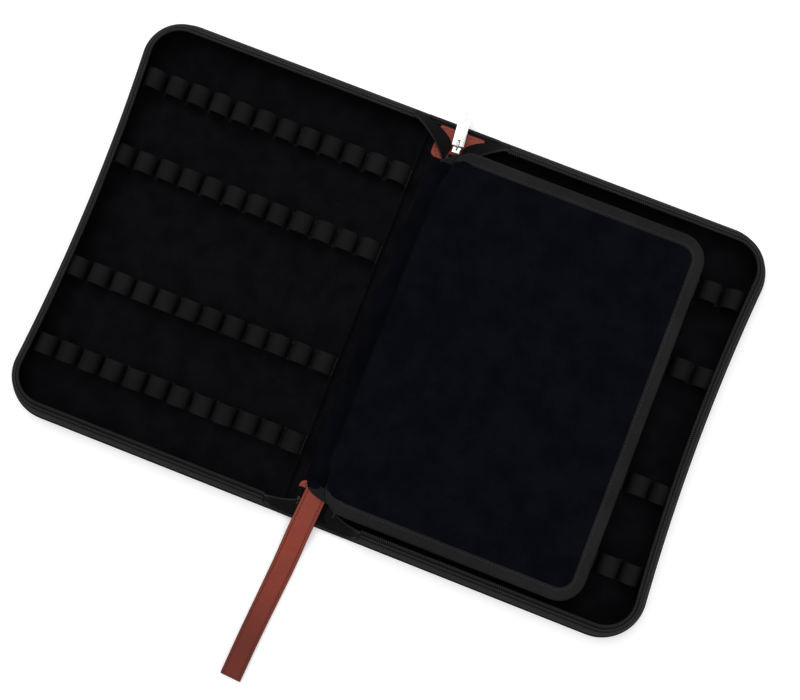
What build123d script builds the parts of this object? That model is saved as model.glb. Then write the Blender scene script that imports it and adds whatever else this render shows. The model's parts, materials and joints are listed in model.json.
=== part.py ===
"""Zip-round folio case for pens, lying open like a book, in millimetres.

Two shallow trays hang on a flat spine. Each tray has a leather cover, a stiff board, foam, a
lining, a soft wall that leans inward with half of the zip on its rim, and four elastic bands of
loops. A padded flap hangs from the middle of the spine and lies over the right tray. The zip
slider is parked at the top of the spine, and a leather wrist strap comes out at its bottom.

The origin is the middle of the spine's underside. +X runs to the right tray, +Y to the slider
and +Z up. Only the right tray is drawn: the left one is its mirror image.
"""

import os
from math import asin, atan2, cos, degrees, hypot, radians, sin, tan

from build123d import *

# The case as a whole
CASE_HEIGHT = 322.0  # top edge to bottom edge
SPINE_WIDTH = 46.0  # fold line to fold line
TRAY_WIDTH = 229.0  # fold line to fore edge, at the corners
CORNER_RADIUS = 34.0
FORE_EDGE_BOW = 5.0  # how far the fore edge draws in at its middle

# The layers of a panel, from the table up
LEATHER = 1.2
BOARD = 1.5
FOAM = 1.0
LINING = 0.8
PANEL_INSET = 3.8  # board, foam and lining stop this far inside the outer edge
FOLD_SLIT = 0.15  # between the cover's leather and the spine's at a fold line
PANEL_START = 1.5  # from the fold line to a tray's board, foam and lining
SPINE_STACK_GAP = 5.0  # from the fold line to the spine's board and lining
CLOSING_GAP = 0.4  # between the two rims when the case is shut

# The soft wall, the zip on its rim and the piping at its foot
PIPING_RADIUS = 1.5
PIPING_START = 1.5  # from the fold line
WALL = 2.4
WALL_START = 15.0  # from the fold line, which leaves a mouth for the slider when shut
WALL_FOOT = 0.9  # from the outer edge to the wall's outer face at its foot
WALL_FOOT_TILT = 5.0  # degrees that the wall leans out of upright at its foot
ZIP_TAPE = 0.7
ZIP_TAPE_SPAN = 9.0  # width of tape that shows on the wall
ZIP_TAPE_GAP = 0.1  # between the tape and the wall that it is sewn to
COIL_RADIUS = 1.0
TAPE_SHORT = 1.2  # the tape's edge stays this far below the middle of the coil
WALL_SHORT = 2.5  # and the wall's top edge this far
COIL_INSET = 11.6  # from the outer edge to the middle of the coil

# The elastic loops
LOOP_COLUMNS = 12
COLUMN_GROUPS = 2  # groups of columns, each with its own lengths of elastic
FIRST_COLUMN = 11.0  # from the fold line to the first column
LAST_COLUMN = 20.0  # from the last column to the fore edge
LOOP_BORE = 13.4  # inside width of a loop
LOOP_RISE = 14.2  # inside height of a loop
ELASTIC = 0.8
ELASTIC_WIDTH = 15.0
ROW_DRAW_IN = 4.0  # how much nearer the middle a row lies than the middle of its half
BAND_SPREAD = 31.0  # from the middle of a row to each of its two bands

# The padded flap
FLAP_ROOT = 1.0
FLAP_SIDE_GAP = 47.0  # from the flap's free edge to the fore edge, at the corners
FLAP_END_GAP = 16.5  # from the flap's upper and lower edges to the case's
FLAP_CORNER = 20.0
FLAP_ROOT_CORNER = 20.0
FLAP_BOARD = 1.6
FLAP_FACE = 1.0
BINDING = 0.6
BINDING_WIDTH = 9.5
FLAP_BOARD_INSET = 3.0
PAD_CROWN = 0.8  # height of each padded face above the binding
PAD_STEPS = ((0.4, 0.0), (4.0, 0.62), (9.5, 1.0))  # distance inside the binding, share of the crown
FLAP_CLEARANCE = 0.4  # from the loops' tops to the flap's lower face
HINGE_STRIP = 1.2
HINGE_STRIP_DROP = 3.4
HINGE_CLEARANCE = 0.3
WEB = 0.8

# The spine's ends
EDGE_ROLL = 5.0  # width of the rolled edge across the spine's ends
EDGE_ROLL_HEIGHT = 3.4
EDGE_ROLL_ROUND = 1.5
EDGE_ROLL_GAP = 4.0  # from the fold line
END_PATCH = 1.2  # leather patch inside each of the spine's ends
END_PATCH_LENGTH = 25.0
END_PATCH_CORNER = 4.0

# The slider, its puller and the zip's far end
PIN_INSET = 17.0  # from the case's top edge to the puller's pin
SLIDER_LENGTH = 11.0
SLIDER_FRONT = 8.0
SLIDER_BACK = 5.6
SLIDER_PLATE = 1.0
SLIDER_THROAT = 2.0
SLIDER_LIP = (0.7, 0.55)  # width and height of the lips that keep the coils in
SLIDER_TAPER = 3.3  # length of the narrow back, and of the wide front
SLIDER_CORNER = 0.8
WEDGE = (3.0, 5.4)  # width and length of the part between the two throats
WEDGE_SETBACK = 0.6  # from the slider's front to the wedge
BAIL_SINK = 0.4  # depth to which the bail's feet are set into the upper plate
BAIL_RADIUS = 0.65
BAIL_SPAN = 6.4
BAIL_RISE = 3.2
PULLER_LENGTH = 29.0
PULLER_WIDTH = 9.0
PULLER = 1.4
PULLER_BAR_RADIUS = 0.9
PULLER_BAR_GAP = 0.15  # between the bar and the underside of the bail
PULLER_SLOT = (3.5, 2.6)
PULLER_WINDOW = (6.2, 4.8)
PULLER_WINDOW_MARGIN = 3.4
PULLER_WINDOW_CORNER = 0.8
PULLER_CORNER = 1.6
ARM_GAP = 0.3  # between the free zip tapes and what they run to
ARM_WIDTH = 5.0  # of the tape where it is gathered at its end
ARM_SETBACK = 0.5  # from the slider's front to the tape's outer edge
TAIL_GAP = 1.2  # from the slider's back to the zip's sewn end
LOWER_ARM_X = 16.0  # from the middle of the spine to where the tapes end at its bottom
STOP = (2.2, 5.4, 2.6)  # metal crimp on the end of each tape
STOP_SLOT = 1.0
STOP_ROUND = 0.65
TAIL = (9.0, 10.0, 0.9)

# The wrist strap
STRAP_WIDTH = 17.5
STRAP_LAYER = 1.2
STRAP_GAP = 0.6  # between its two layers
STRAP_LENGTH = 122.0  # from its flexing line to its folded end
STRAP_TURN = 3.8  # degrees from straight down towards the left tray
STRAP_ROOT_X = -5.3  # where its middle line crosses its flexing line
STRAP_OUT = 3.0  # from the case's bottom edge to its flexing line
STRAP_SLOPE_RUN = 24.0  # run over which it comes down to the table
STRAP_JOINT_GAP = 0.3  # between the strap's round root and the end of its anchor
STRAP_ROOT = 31.0  # length inside its flexing line, sewn down on the patch
STRAP_LIFT = 0.3  # above the rolled edge that it crosses

# How many flat sides stand for a curve
ROUND_SIDES = 8  # round the piping and the bail's wire
COIL_SIDES = 6
ARCH_SIDES = 6  # over the half circle of a loop
WALL_SIDES = 3  # up the wall's curve
TAPE_SIDES = 2  # up the part of it that the tape covers

# Worked out from the sizes above
HALF_HEIGHT = CASE_HEIGHT / 2
FOLD = SPINE_WIDTH / 2
FORE_EDGE = FOLD + TRAY_WIDTH
PIN_Y = HALF_HEIGHT - PIN_INSET
FLAP_EDGE = FORE_EDGE - FLAP_SIDE_GAP
FLAP_HALF_HEIGHT = HALF_HEIGHT - FLAP_END_GAP
LOOP_PITCH = (TRAY_WIDTH - FIRST_COLUMN - LAST_COLUMN) / (LOOP_COLUMNS - 1)
ELASTIC_END = (LOOP_PITCH - LOOP_BORE - 2 * ELASTIC) / 3  # sewn down past a length's last loop
ROW_CENTRE = HALF_HEIGHT / 2 - ROW_DRAW_IN  # from the middle of the case
BOARD_TOP = LEATHER + BOARD
FOAM_TOP = BOARD_TOP + FOAM
TRAY_TOP = FOAM_TOP + LINING
SPINE_TOP = BOARD_TOP + LINING
RIM = LEATHER + FOLD - CLOSING_GAP / 2
LOOP_TOP = TRAY_TOP + LOOP_RISE + ELASTIC
FLAP_UNDERSIDE = LOOP_TOP + FLAP_CLEARANCE + PAD_CROWN  # of the binding
FLAP_THICKNESS = FLAP_BOARD + 2 * FLAP_FACE + 2 * BINDING
FLAP_MIDDLE = FLAP_UNDERSIDE + FLAP_THICKNESS / 2


def tray_path(inset, start):
    """Line round the tray's three open sides, this far inside its edge and from the fold line."""
    radius = CORNER_RADIUS - inset
    centre_x = FORE_EDGE - CORNER_RADIUS
    centre_y = HALF_HEIGHT - CORNER_RADIUS
    # The bowed fore edge meets both corners without a kink
    reach = (FORE_EDGE_BOW**2 + centre_y**2) / (2 * FORE_EDGE_BOW)
    bow_centre = centre_x + reach - FORE_EDGE_BOW
    tilt = degrees(asin(centre_y / reach))
    low_y = -HALF_HEIGHT + inset
    first_x = FOLD + start
    return Wire(
        [
            Edge.make_line((first_x, low_y), (centre_x, low_y)),
            CenterArc((centre_x, -centre_y), radius, -90, 90 + tilt).edge(),
            CenterArc((bow_centre, 0), reach - radius, 180 + tilt, -2 * tilt).edge(),
            CenterArc((centre_x, centre_y), radius, -tilt, 90 + tilt).edge(),
            Edge.make_line((centre_x, -low_y), (first_x, -low_y)),
        ]
    )


def tray_sheet(inset, start, bottom, thickness):
    """Flat layer with the tray's outline."""
    path = tray_path(inset, start)
    closing = Edge.make_line(path @ 1, path @ 0)
    face = Face(Wire(path.edges() + [closing]))
    return Pos(0, 0, bottom) * extrude(face, thickness)


def wall_section_plane(start):
    """Plane across the wall at its lower end: local x runs inward from the edge, local y up."""
    return Plane(origin=(FOLD + start, -HALF_HEIGHT, 0), x_dir=(0, 1, 0), z_dir=(1, 0, 0))


def sweep_round_tray(section, start):
    """Carry a section, drawn in the wall's plane, round the three open sides."""
    return sweep(wall_section_plane(start) * section, path=tray_path(0, start))


def wall_circle():
    """Centre and radius of the curve that the zip tape follows from the wall's foot to the coil."""
    run = COIL_INSET - WALL_FOOT
    rise = RIM - COIL_RADIUS - TRAY_TOP
    tilt = radians(WALL_FOOT_TILT)
    radius = (run**2 + rise**2) / (2 * (run * cos(tilt) - rise * sin(tilt)))
    centre = (WALL_FOOT + radius * cos(tilt), TRAY_TOP - radius * sin(tilt))
    return centre, radius


def arc_point(centre, radius, angle):
    """Point on a circle at an angle in degrees."""
    return (centre[0] + radius * cos(radians(angle)), centre[1] + radius * sin(radians(angle)))


def arc_points(centre, radius, first, last, sides):
    """Points along an arc between two angles in degrees."""
    angles = [first + (last - first) * step / sides for step in range(sides + 1)]
    return [arc_point(centre, radius, angle) for angle in angles]


def ring_sector(centre, inner, outer, first, last, sides):
    """Closed section between two radii and two angles in degrees."""
    outside = arc_points(centre, outer, first, last, sides)
    inside = arc_points(centre, inner, last, first, sides)
    return make_face(Polyline(*outside, *inside, close=True))


def coil_angle():
    """Angle on the wall's curve at which the coil's middle lies."""
    centre, radius = wall_circle()
    return degrees(atan2(RIM - COIL_RADIUS - centre[1], COIL_INSET - centre[0]))


def wall():
    centre, radius = wall_circle()
    outer = radius - ZIP_TAPE / 2 - ZIP_TAPE_GAP
    last = coil_angle() + degrees(WALL_SHORT / radius)
    section = ring_sector(centre, outer - WALL, outer, 180 - WALL_FOOT_TILT, last, WALL_SIDES)
    return sweep_round_tray(section, WALL_START)


def zip_tape():
    centre, radius = wall_circle()
    last = coil_angle() + degrees(TAPE_SHORT / radius)
    first = last + degrees(ZIP_TAPE_SPAN / radius)
    section = ring_sector(
        centre, radius - ZIP_TAPE / 2, radius + ZIP_TAPE / 2, first, last, TAPE_SIDES
    )
    return sweep_round_tray(section, WALL_START)


def round_section(radius, sides):
    """Round section in flat sides, of which one lies at its foot."""
    return Rot(0, 0, -90 - 180 / sides) * RegularPolygon(radius, sides, major_radius=False)


def zip_coil():
    section = Pos(COIL_INSET, RIM - COIL_RADIUS) * round_section(COIL_RADIUS, COIL_SIDES)
    return sweep_round_tray(section, WALL_START)


def piping():
    section = Pos(PIPING_RADIUS, LEATHER + PIPING_RADIUS) * round_section(PIPING_RADIUS, ROUND_SIDES)
    return sweep_round_tray(section, PIPING_START)


def elastic_section(first_column):
    """Side view of a length of elastic: sewn down flat, and arched over each column."""
    bore = LOOP_BORE / 2
    springing = TRAY_TOP + LOOP_RISE - bore
    columns = range(first_column, first_column + LOOP_COLUMNS // COLUMN_GROUPS)
    centres = [FOLD + FIRST_COLUMN + column * LOOP_PITCH for column in columns]
    first_x = centres[0] - bore - ELASTIC - ELASTIC_END
    last_x = centres[-1] + bore + ELASTIC + ELASTIC_END
    over = [(first_x, TRAY_TOP + ELASTIC)]
    under = [(first_x, TRAY_TOP)]
    for x in centres:
        outside = arc_points((x, springing), bore + ELASTIC, 180, 0, ARCH_SIDES)
        inside = arc_points((x, springing), bore, 180, 0, ARCH_SIDES)
        over += [(outside[0][0], TRAY_TOP + ELASTIC), *outside, (outside[-1][0], TRAY_TOP + ELASTIC)]
        under += [(inside[0][0], TRAY_TOP), *inside, (inside[-1][0], TRAY_TOP)]
    over.append((last_x, TRAY_TOP + ELASTIC))
    under.append((last_x, TRAY_TOP))
    return make_face(Polyline(*over, *reversed(under), close=True))


def elastic_loops(y, first_column):
    """Length of elastic standing across the tray at this height of the case."""
    plane = Plane(origin=(0, y + ELASTIC_WIDTH / 2, 0), x_dir=(1, 0, 0), z_dir=(0, -1, 0))
    return extrude(plane * elastic_section(first_column), ELASTIC_WIDTH)


def flap_path(inset):
    """Line round the flap's bound edge, from the bottom of its root to the top of its root."""
    left = FLAP_ROOT + inset
    right = FLAP_EDGE - inset
    top = FLAP_HALF_HEIGHT - inset
    root_radius = FLAP_ROOT_CORNER - inset
    radius = FLAP_CORNER - inset
    root_x = FLAP_ROOT + FLAP_ROOT_CORNER
    root_y = FLAP_HALF_HEIGHT - FLAP_ROOT_CORNER
    free_x = FLAP_EDGE - FLAP_CORNER
    free_y = FLAP_HALF_HEIGHT - FLAP_CORNER
    return Wire(
        [
            CenterArc((root_x, -root_y), root_radius, 180, 90).edge(),
            Edge.make_line((root_x, -top), (free_x, -top)),
            CenterArc((free_x, -free_y), radius, 270, 90).edge(),
            Edge.make_line((right, -free_y), (right, free_y)),
            CenterArc((free_x, free_y), radius, 0, 90).edge(),
            Edge.make_line((free_x, top), (root_x, top)),
            CenterArc((root_x, root_y), root_radius, 90, 90).edge(),
        ]
    )


def flap_outline(inset, height):
    """Closed line this far inside the flap's outline."""
    path = flap_path(inset)
    return Pos(0, 0, height) * Wire(path.edges() + [Edge.make_line(path @ 1, path @ 0)])


def flap_sheet(inset, bottom, thickness):
    return extrude(Face(flap_outline(inset, bottom)), thickness)


def flap_face():
    """Padded upper face: flat under the binding, then rising to its crown."""
    bottom = FLAP_MIDDLE + FLAP_BOARD / 2
    seat = bottom + FLAP_FACE
    rise = BINDING + PAD_CROWN
    levels = [
        flap_outline(BINDING_WIDTH + distance, seat + share * rise) for distance, share in PAD_STEPS
    ]
    return flap_sheet(BINDING, bottom, FLAP_FACE) + Solid.make_loft(levels, ruled=True)


def flap_binding():
    """Strip of cloth folded over the flap's edge and sewn through on both faces."""
    root_y = FLAP_HALF_HEIGHT - FLAP_ROOT_CORNER
    plane = Plane(origin=(FLAP_ROOT, -root_y, FLAP_MIDDLE), x_dir=(1, 0, 0), z_dir=(0, -1, 0))
    half = FLAP_THICKNESS / 2
    strip = Pos(BINDING_WIDTH / 2, 0) * Rectangle(BINDING_WIDTH, 2 * half)
    inside = Pos((BINDING_WIDTH + BINDING) / 2, 0) * Rectangle(
        BINDING_WIDTH - BINDING, 2 * (half - BINDING)
    )
    return sweep(plane * (strip - inside), path=Pos(0, 0, FLAP_MIDDLE) * flap_path(0))


def flap_web():
    """Cloth web that stands up from the middle of the spine and carries the flap."""
    half_length = FLAP_HALF_HEIGHT - FLAP_ROOT_CORNER
    top = FLAP_MIDDLE - FLAP_THICKNESS / 2 - HINGE_CLEARANCE - HINGE_STRIP_DROP
    height = top - HINGE_CLEARANCE - SPINE_TOP
    return Pos(0, 0, SPINE_TOP + height / 2) * Box(WEB, 2 * half_length, height)


def flap_hinge_strip():
    """Doubled strip at the head of the web, on which the flap turns."""
    half_length = FLAP_HALF_HEIGHT - FLAP_ROOT_CORNER
    corner = hypot(FLAP_ROOT, FLAP_THICKNESS / 2)
    top = FLAP_MIDDLE - corner - HINGE_CLEARANCE
    bottom = FLAP_UNDERSIDE - HINGE_CLEARANCE - HINGE_STRIP_DROP
    strip = Box(HINGE_STRIP, 2 * half_length, top - bottom)
    return Pos(0, 0, (top + bottom) / 2) * strip


def spine_edge(side):
    """Rolled black edge across one end of the spine, round on top."""
    half = EDGE_ROLL / 2
    section = Rectangle(EDGE_ROLL, EDGE_ROLL_HEIGHT)
    section = fillet(section.vertices().sort_by(Axis.Y)[2:], EDGE_ROLL_ROUND)
    length = 2 * (FOLD - EDGE_ROLL_GAP)
    plane = Plane(
        origin=(-length / 2, side * (HALF_HEIGHT - half), LEATHER + EDGE_ROLL_HEIGHT / 2),
        x_dir=(0, 1, 0),
        z_dir=(1, 0, 0),
    )
    return extrude(plane * section, length)


def spine_patch(side):
    """Leather patch inside one end of the spine, on which the zip's end or the strap is sewn."""
    outer = side * (HALF_HEIGHT - EDGE_ROLL)
    width = 2 * (FOLD - SPINE_STACK_GAP)
    middle = outer - side * END_PATCH_LENGTH / 2
    sheet = Pos(0, middle, SPINE_TOP + END_PATCH / 2) * Box(width, END_PATCH_LENGTH, END_PATCH)
    inner_corners = sheet.edges().filter_by(Axis.Z).sort_by(Axis.Y, reverse=side < 0)[:2]
    return fillet(inner_corners, END_PATCH_CORNER)


def slider_bottom():
    return SPINE_TOP + END_PATCH


def slider_plate(bottom):
    """Shield-shaped plate of the slider, wide at the mouth where the two tapes come in."""
    front = PIN_Y + SLIDER_LENGTH / 2
    back = PIN_Y - SLIDER_LENGTH / 2
    outline = Polyline(
        (-SLIDER_BACK / 2, back),
        (SLIDER_BACK / 2, back),
        (SLIDER_BACK / 2, back + SLIDER_TAPER),
        (SLIDER_FRONT / 2, front - SLIDER_TAPER),
        (SLIDER_FRONT / 2, front),
        (-SLIDER_FRONT / 2, front),
        (-SLIDER_FRONT / 2, front - SLIDER_TAPER),
        (-SLIDER_BACK / 2, back + SLIDER_TAPER),
        close=True,
    )
    plate = extrude(make_face(outline), SLIDER_PLATE)
    return Pos(0, 0, bottom) * fillet(plate.edges().filter_by(Axis.Z), SLIDER_CORNER)


def slider_wedge():
    """Kite-shaped post between the plates, which parts the coils."""
    width, length = WEDGE
    tip = PIN_Y + SLIDER_LENGTH / 2 - WEDGE_SETBACK
    widest = tip - length / 3
    outline = Polyline((0, tip - length), (width / 2, widest), (0, tip), (-width / 2, widest), close=True)
    return extrude(make_face(outline), SLIDER_THROAT)


def slider_bail(top):
    """Wire arch on the upper plate, which the puller hooks on."""
    half_span = BAIL_SPAN / 2
    back_foot = (0, PIN_Y - half_span, top)
    front_foot = (0, PIN_Y + half_span, top)
    sunk = Vector(0, 0, -BAIL_SINK)
    arch = Wire(
        [
            Edge.make_line(Vector(back_foot) + sunk, back_foot),
            ThreePointArc(back_foot, (0, PIN_Y, top + BAIL_RISE), front_foot).edge(),
            Edge.make_line(front_foot, Vector(front_foot) + sunk),
        ]
    )
    foot_plane = Plane(origin=Vector(back_foot) + sunk)
    return sweep(foot_plane * round_section(BAIL_RADIUS, ROUND_SIDES), path=arch)


def zip_slider():
    """Slider: two plates, the wedge, lips along both sides and the bail."""
    bottom = slider_bottom()
    upper = bottom + SLIDER_PLATE + SLIDER_THROAT
    body = slider_plate(bottom) + slider_plate(upper)
    body += Pos(0, 0, bottom + SLIDER_PLATE) * slider_wedge()
    lip_width, lip_height = SLIDER_LIP
    lip = Box(lip_width, SLIDER_TAPER, lip_height)
    lip_y = PIN_Y - (SLIDER_LENGTH - SLIDER_TAPER) / 2
    for side in (-1, 1):
        lip_x = side * (SLIDER_BACK - lip_width) / 2
        body += Pos(lip_x, lip_y, bottom + SLIDER_PLATE + lip_height / 2) * lip
        body += Pos(lip_x, lip_y, upper - lip_height / 2) * lip
    return body + slider_bail(upper + SLIDER_PLATE)


def puller_axis_height():
    top = slider_bottom() + 2 * SLIDER_PLATE + SLIDER_THROAT
    return top + BAIL_RISE - BAIL_RADIUS - PULLER_BAR_GAP - PULLER_BAR_RADIUS


def zip_puller():
    """Flat puller with a window near its tip, hooked on the bail by a round bar."""
    slot_length, slot_width = PULLER_SLOT
    window_length, window_width = PULLER_WINDOW
    plate = Pos(0, PULLER_LENGTH / 2) * Rectangle(PULLER_WIDTH, PULLER_LENGTH)
    plate = fillet(plate.vertices().sort_by(Axis.Y)[2:], PULLER_CORNER)
    window_y = PULLER_LENGTH - PULLER_WINDOW_MARGIN - window_length / 2
    plate -= Pos(0, window_y) * RectangleRounded(window_width, window_length, PULLER_WINDOW_CORNER)
    slot_y = PULLER_BAR_RADIUS + slot_length / 2
    plate -= Pos(0, slot_y) * Rectangle(slot_width, slot_length)
    plate -= Pos(0, PULLER_BAR_RADIUS / 2) * Rectangle(slot_width, PULLER_BAR_RADIUS)
    body = Pos(0, 0, -PULLER / 2) * extrude(plate, PULLER)
    bar = Rot(0, 90, 0) * Cylinder(PULLER_BAR_RADIUS, PULLER_WIDTH)
    return Pos(0, PIN_Y, puller_axis_height()) * (body + bar)


def arm_outer_y():
    return PIN_Y + SLIDER_LENGTH / 2 - ARM_SETBACK


def zip_arm(side, near_x, near_z):
    """Free stretch of zip tape from the right wall's end down to the spine."""
    centre, radius = wall_circle()
    last = coil_angle()
    first = last + degrees(ZIP_TAPE_SPAN / radius)
    wall_x = FOLD + WALL_START - ARM_GAP
    far = []
    for angle, offset in ((first, 0.0), (last, 0.0), (last, -ZIP_TAPE), (first, -ZIP_TAPE)):
        u, z = arc_point(centre, radius + offset, angle)
        far.append(Vector(wall_x, side * (HALF_HEIGHT - u), z))
    outer_y = arm_outer_y()
    near = [
        Vector(near_x, side * y, near_z + lift)
        for y, lift in (
            (outer_y, ZIP_TAPE / 2),
            (outer_y - ARM_WIDTH, ZIP_TAPE / 2),
            (outer_y - ARM_WIDTH, -ZIP_TAPE / 2),
            (outer_y, -ZIP_TAPE / 2),
        )
    ]
    return ribbon(near, far)


def ribbon(near, far):
    """Solid between two four-cornered ends, its twisted sides made of flat triangles."""
    faces = [polygon_face(near), polygon_face(far[:3]), polygon_face([far[0], far[2], far[3]])]
    for corner in range(4):
        following = (corner + 1) % 4
        faces.append(polygon_face([near[corner], near[following], far[following]]))
        faces.append(polygon_face([near[corner], far[following], far[corner]]))
    return Solid(Shell(faces))


def polygon_face(points):
    return Face(Wire.make_polygon(points, close=True))


def upper_zip_arm():
    """Stretch that runs into the slider's mouth."""
    throat = slider_bottom() + SLIDER_PLATE + SLIDER_THROAT / 2
    return zip_arm(1, SLIDER_FRONT / 2 + ARM_GAP, throat)


def lower_zip_arm():
    """Stretch that ends in its metal crimp, beside the strap."""
    return zip_arm(-1, LOWER_ARM_X, SPINE_TOP + END_PATCH + STOP[2] / 2)


def zip_stop():
    """Metal crimp pressed over the end of one tape."""
    width, length, height = STOP
    body = chamfer(Box(width, length, height).edges().filter_by(Axis.Y), STOP_ROUND)
    body -= Pos(width / 2, 0, 0) * Box(width, length, STOP_SLOT)
    middle_x = LOWER_ARM_X - ARM_GAP - width / 2
    middle_y = ARM_WIDTH / 2 - arm_outer_y()
    return Pos(middle_x, middle_y, SPINE_TOP + END_PATCH + height / 2) * body


def zip_tail():
    """Joined ends of the two tapes, sewn to the patch behind the slider."""
    width, length, thickness = TAIL
    middle = PIN_Y - SLIDER_LENGTH / 2 - TAIL_GAP - length / 2
    return Pos(0, middle, SPINE_TOP + END_PATCH + thickness / 2) * Box(width, length, thickness)


def strap_plane():
    """Upright plane along the strap: local x runs out along it from its flexing line."""
    turn = radians(STRAP_TURN)
    along = (-sin(turn), -cos(turn), 0)
    across = (-cos(turn), sin(turn), 0)
    origin = (STRAP_ROOT_X, -HALF_HEIGHT - STRAP_OUT, 0)
    return Plane(origin=origin, x_dir=along, z_dir=across)


def strap_half():
    return STRAP_LAYER + STRAP_GAP / 2


def strap_height():
    """Middle height of the strap where it crosses the spine's rolled edge."""
    return LEATHER + EDGE_ROLL_HEIGHT + STRAP_LIFT + strap_half()


def strap_outline(half, last):
    """Side view of the strap, this thick to each side of its middle line, round at both ends."""
    rest = strap_half()
    root = strap_height()
    bend = tan(atan2(root - rest, STRAP_SLOPE_RUN) / 2) * half
    tip = last - half
    return make_face(
        [
            ThreePointArc((0, root - half), (-half, root), (0, root + half)),
            Line((0, root + half), (STRAP_SLOPE_RUN + bend, rest + half)),
            Line((STRAP_SLOPE_RUN + bend, rest + half), (tip, rest + half)),
            ThreePointArc((tip, rest + half), (last, rest), (tip, rest - half)),
            Line((tip, rest - half), (STRAP_SLOPE_RUN - bend, rest - half)),
            Line((STRAP_SLOPE_RUN - bend, rest - half), (0, root - half)),
        ]
    )


def wrist_strap():
    """Doubled strap: two layers of leather in one piece, folded at the far end."""
    outer = strap_outline(strap_half(), STRAP_LENGTH)
    between = strap_outline(STRAP_GAP / 2, STRAP_LENGTH - STRAP_LAYER)
    return extrude(strap_plane() * (outer - between), STRAP_WIDTH / 2, both=True)


def strap_anchor():
    """Root of the strap, from its flexing line to where it is sewn down on the patch."""
    front = strap_half() + STRAP_JOINT_GAP
    length = STRAP_ROOT - front
    side_view = Pos(-front - length / 2, strap_height()) * Rectangle(length, 2 * strap_half())
    return extrude(strap_plane() * side_view, STRAP_WIDTH / 2, both=True)


def spine_sheet(half_width, inset, bottom, thickness):
    sheet = Box(2 * half_width, CASE_HEIGHT - 2 * inset, thickness)
    return Pos(0, 0, bottom + thickness / 2) * sheet


def right_tray():
    """Every piece of the right tray by its name."""
    pieces = {
        "cover": tray_sheet(0, FOLD_SLIT, 0, LEATHER),
        "board": tray_sheet(PANEL_INSET, PANEL_START, LEATHER, BOARD),
        "foam": tray_sheet(PANEL_INSET, PANEL_START, BOARD_TOP, FOAM),
        "lining": tray_sheet(PANEL_INSET, PANEL_START, FOAM_TOP, LINING),
        "wall": wall(),
        "piping": piping(),
        "zip_tape": zip_tape(),
        "zip_coil": zip_coil(),
        "zip_arm_upper": upper_zip_arm(),
        "zip_arm_lower": lower_zip_arm(),
        "zip_stop": zip_stop(),
    }
    heights = [row * ROW_CENTRE + band * BAND_SPREAD for row in (1, -1) for band in (1, -1)]
    for number, y in enumerate(heights, start=1):
        for group, name in enumerate(("inner", "outer")):
            first_column = group * LOOP_COLUMNS // COLUMN_GROUPS
            pieces[f"loops_{number}_{name}"] = elastic_loops(y, first_column)
    return pieces


def middle_pieces():
    """Every piece on the spine, the flap and the strap by its node name."""
    stack_half = FOLD - SPINE_STACK_GAP
    upper_face = flap_face()
    flap_plane = Plane(origin=(0, 0, FLAP_MIDDLE), z_dir=(0, 0, 1))
    return {
        "spine_cover": spine_sheet(FOLD - FOLD_SLIT, 0, 0, LEATHER),
        "spine_board": spine_sheet(stack_half, EDGE_ROLL, LEATHER, BOARD),
        "spine_lining": spine_sheet(stack_half, EDGE_ROLL, BOARD_TOP, LINING),
        "spine_edge_top": spine_edge(1),
        "spine_edge_bottom": spine_edge(-1),
        "spine_patch_top": spine_patch(1),
        "spine_patch_bottom": spine_patch(-1),
        "zip_slider": zip_slider(),
        "zip_puller": zip_puller(),
        "zip_tail": zip_tail(),
        "flap_board": flap_sheet(FLAP_BOARD_INSET, FLAP_MIDDLE - FLAP_BOARD / 2, FLAP_BOARD),
        "flap_face_upper": upper_face,
        "flap_face_lower": mirror(upper_face, about=flap_plane),
        "flap_binding": flap_binding(),
        "flap_hinge_strip": flap_hinge_strip(),
        "flap_web": flap_web(),
        "strap_anchor": strap_anchor(),
        "wrist_strap": wrist_strap(),
    }


def main():
    pieces = middle_pieces()
    for name, shape in right_tray().items():
        pieces[f"right_{name}"] = shape
        pieces[f"left_{name}"] = mirror(shape, about=Plane.YZ)
    os.makedirs("parts", exist_ok=True)
    for name, shape in pieces.items():
        export_step(shape, f"parts/{name}.step")


main()
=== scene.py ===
"""Dresses the pen case: leather, soft walls, zip, elastic loops, flap and strap on the CAD frame.

Lengths in the code are millimetres in the frame's own place. Meshes are written in metres. The
right tray's pieces are worked out, and the left tray's are the same with x turned round.
"""

import json
from functools import partial
from math import asin, atan2, ceil, cos, hypot, pi, radians, sin

import bmesh
import bpy
import numpy as np
from mathutils import Matrix, Vector


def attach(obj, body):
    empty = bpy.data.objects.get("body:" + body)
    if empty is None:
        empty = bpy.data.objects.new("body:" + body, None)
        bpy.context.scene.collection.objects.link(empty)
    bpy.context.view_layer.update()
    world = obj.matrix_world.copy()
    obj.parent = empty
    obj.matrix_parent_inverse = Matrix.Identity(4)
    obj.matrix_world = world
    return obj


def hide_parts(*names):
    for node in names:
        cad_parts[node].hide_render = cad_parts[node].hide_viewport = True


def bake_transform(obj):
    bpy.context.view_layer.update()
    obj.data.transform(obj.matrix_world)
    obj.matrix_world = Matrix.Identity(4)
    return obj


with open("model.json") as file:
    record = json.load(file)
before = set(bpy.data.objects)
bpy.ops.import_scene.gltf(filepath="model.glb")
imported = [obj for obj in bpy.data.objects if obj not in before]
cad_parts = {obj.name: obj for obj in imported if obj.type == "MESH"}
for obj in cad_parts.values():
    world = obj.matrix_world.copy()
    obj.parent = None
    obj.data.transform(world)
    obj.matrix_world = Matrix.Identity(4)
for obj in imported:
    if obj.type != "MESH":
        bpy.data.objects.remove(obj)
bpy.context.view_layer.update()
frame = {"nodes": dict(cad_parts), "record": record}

bl_info = {
    "name": "Pen case",
    "version": (1, 0, 0),
    "blender": (4, 5, 0),
    "location": "View3D > Sidebar > Pen case",
    "description": "Leather, zip, elastic loops, flap and strap for a folio pen case",
    "category": "Object",
}

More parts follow.
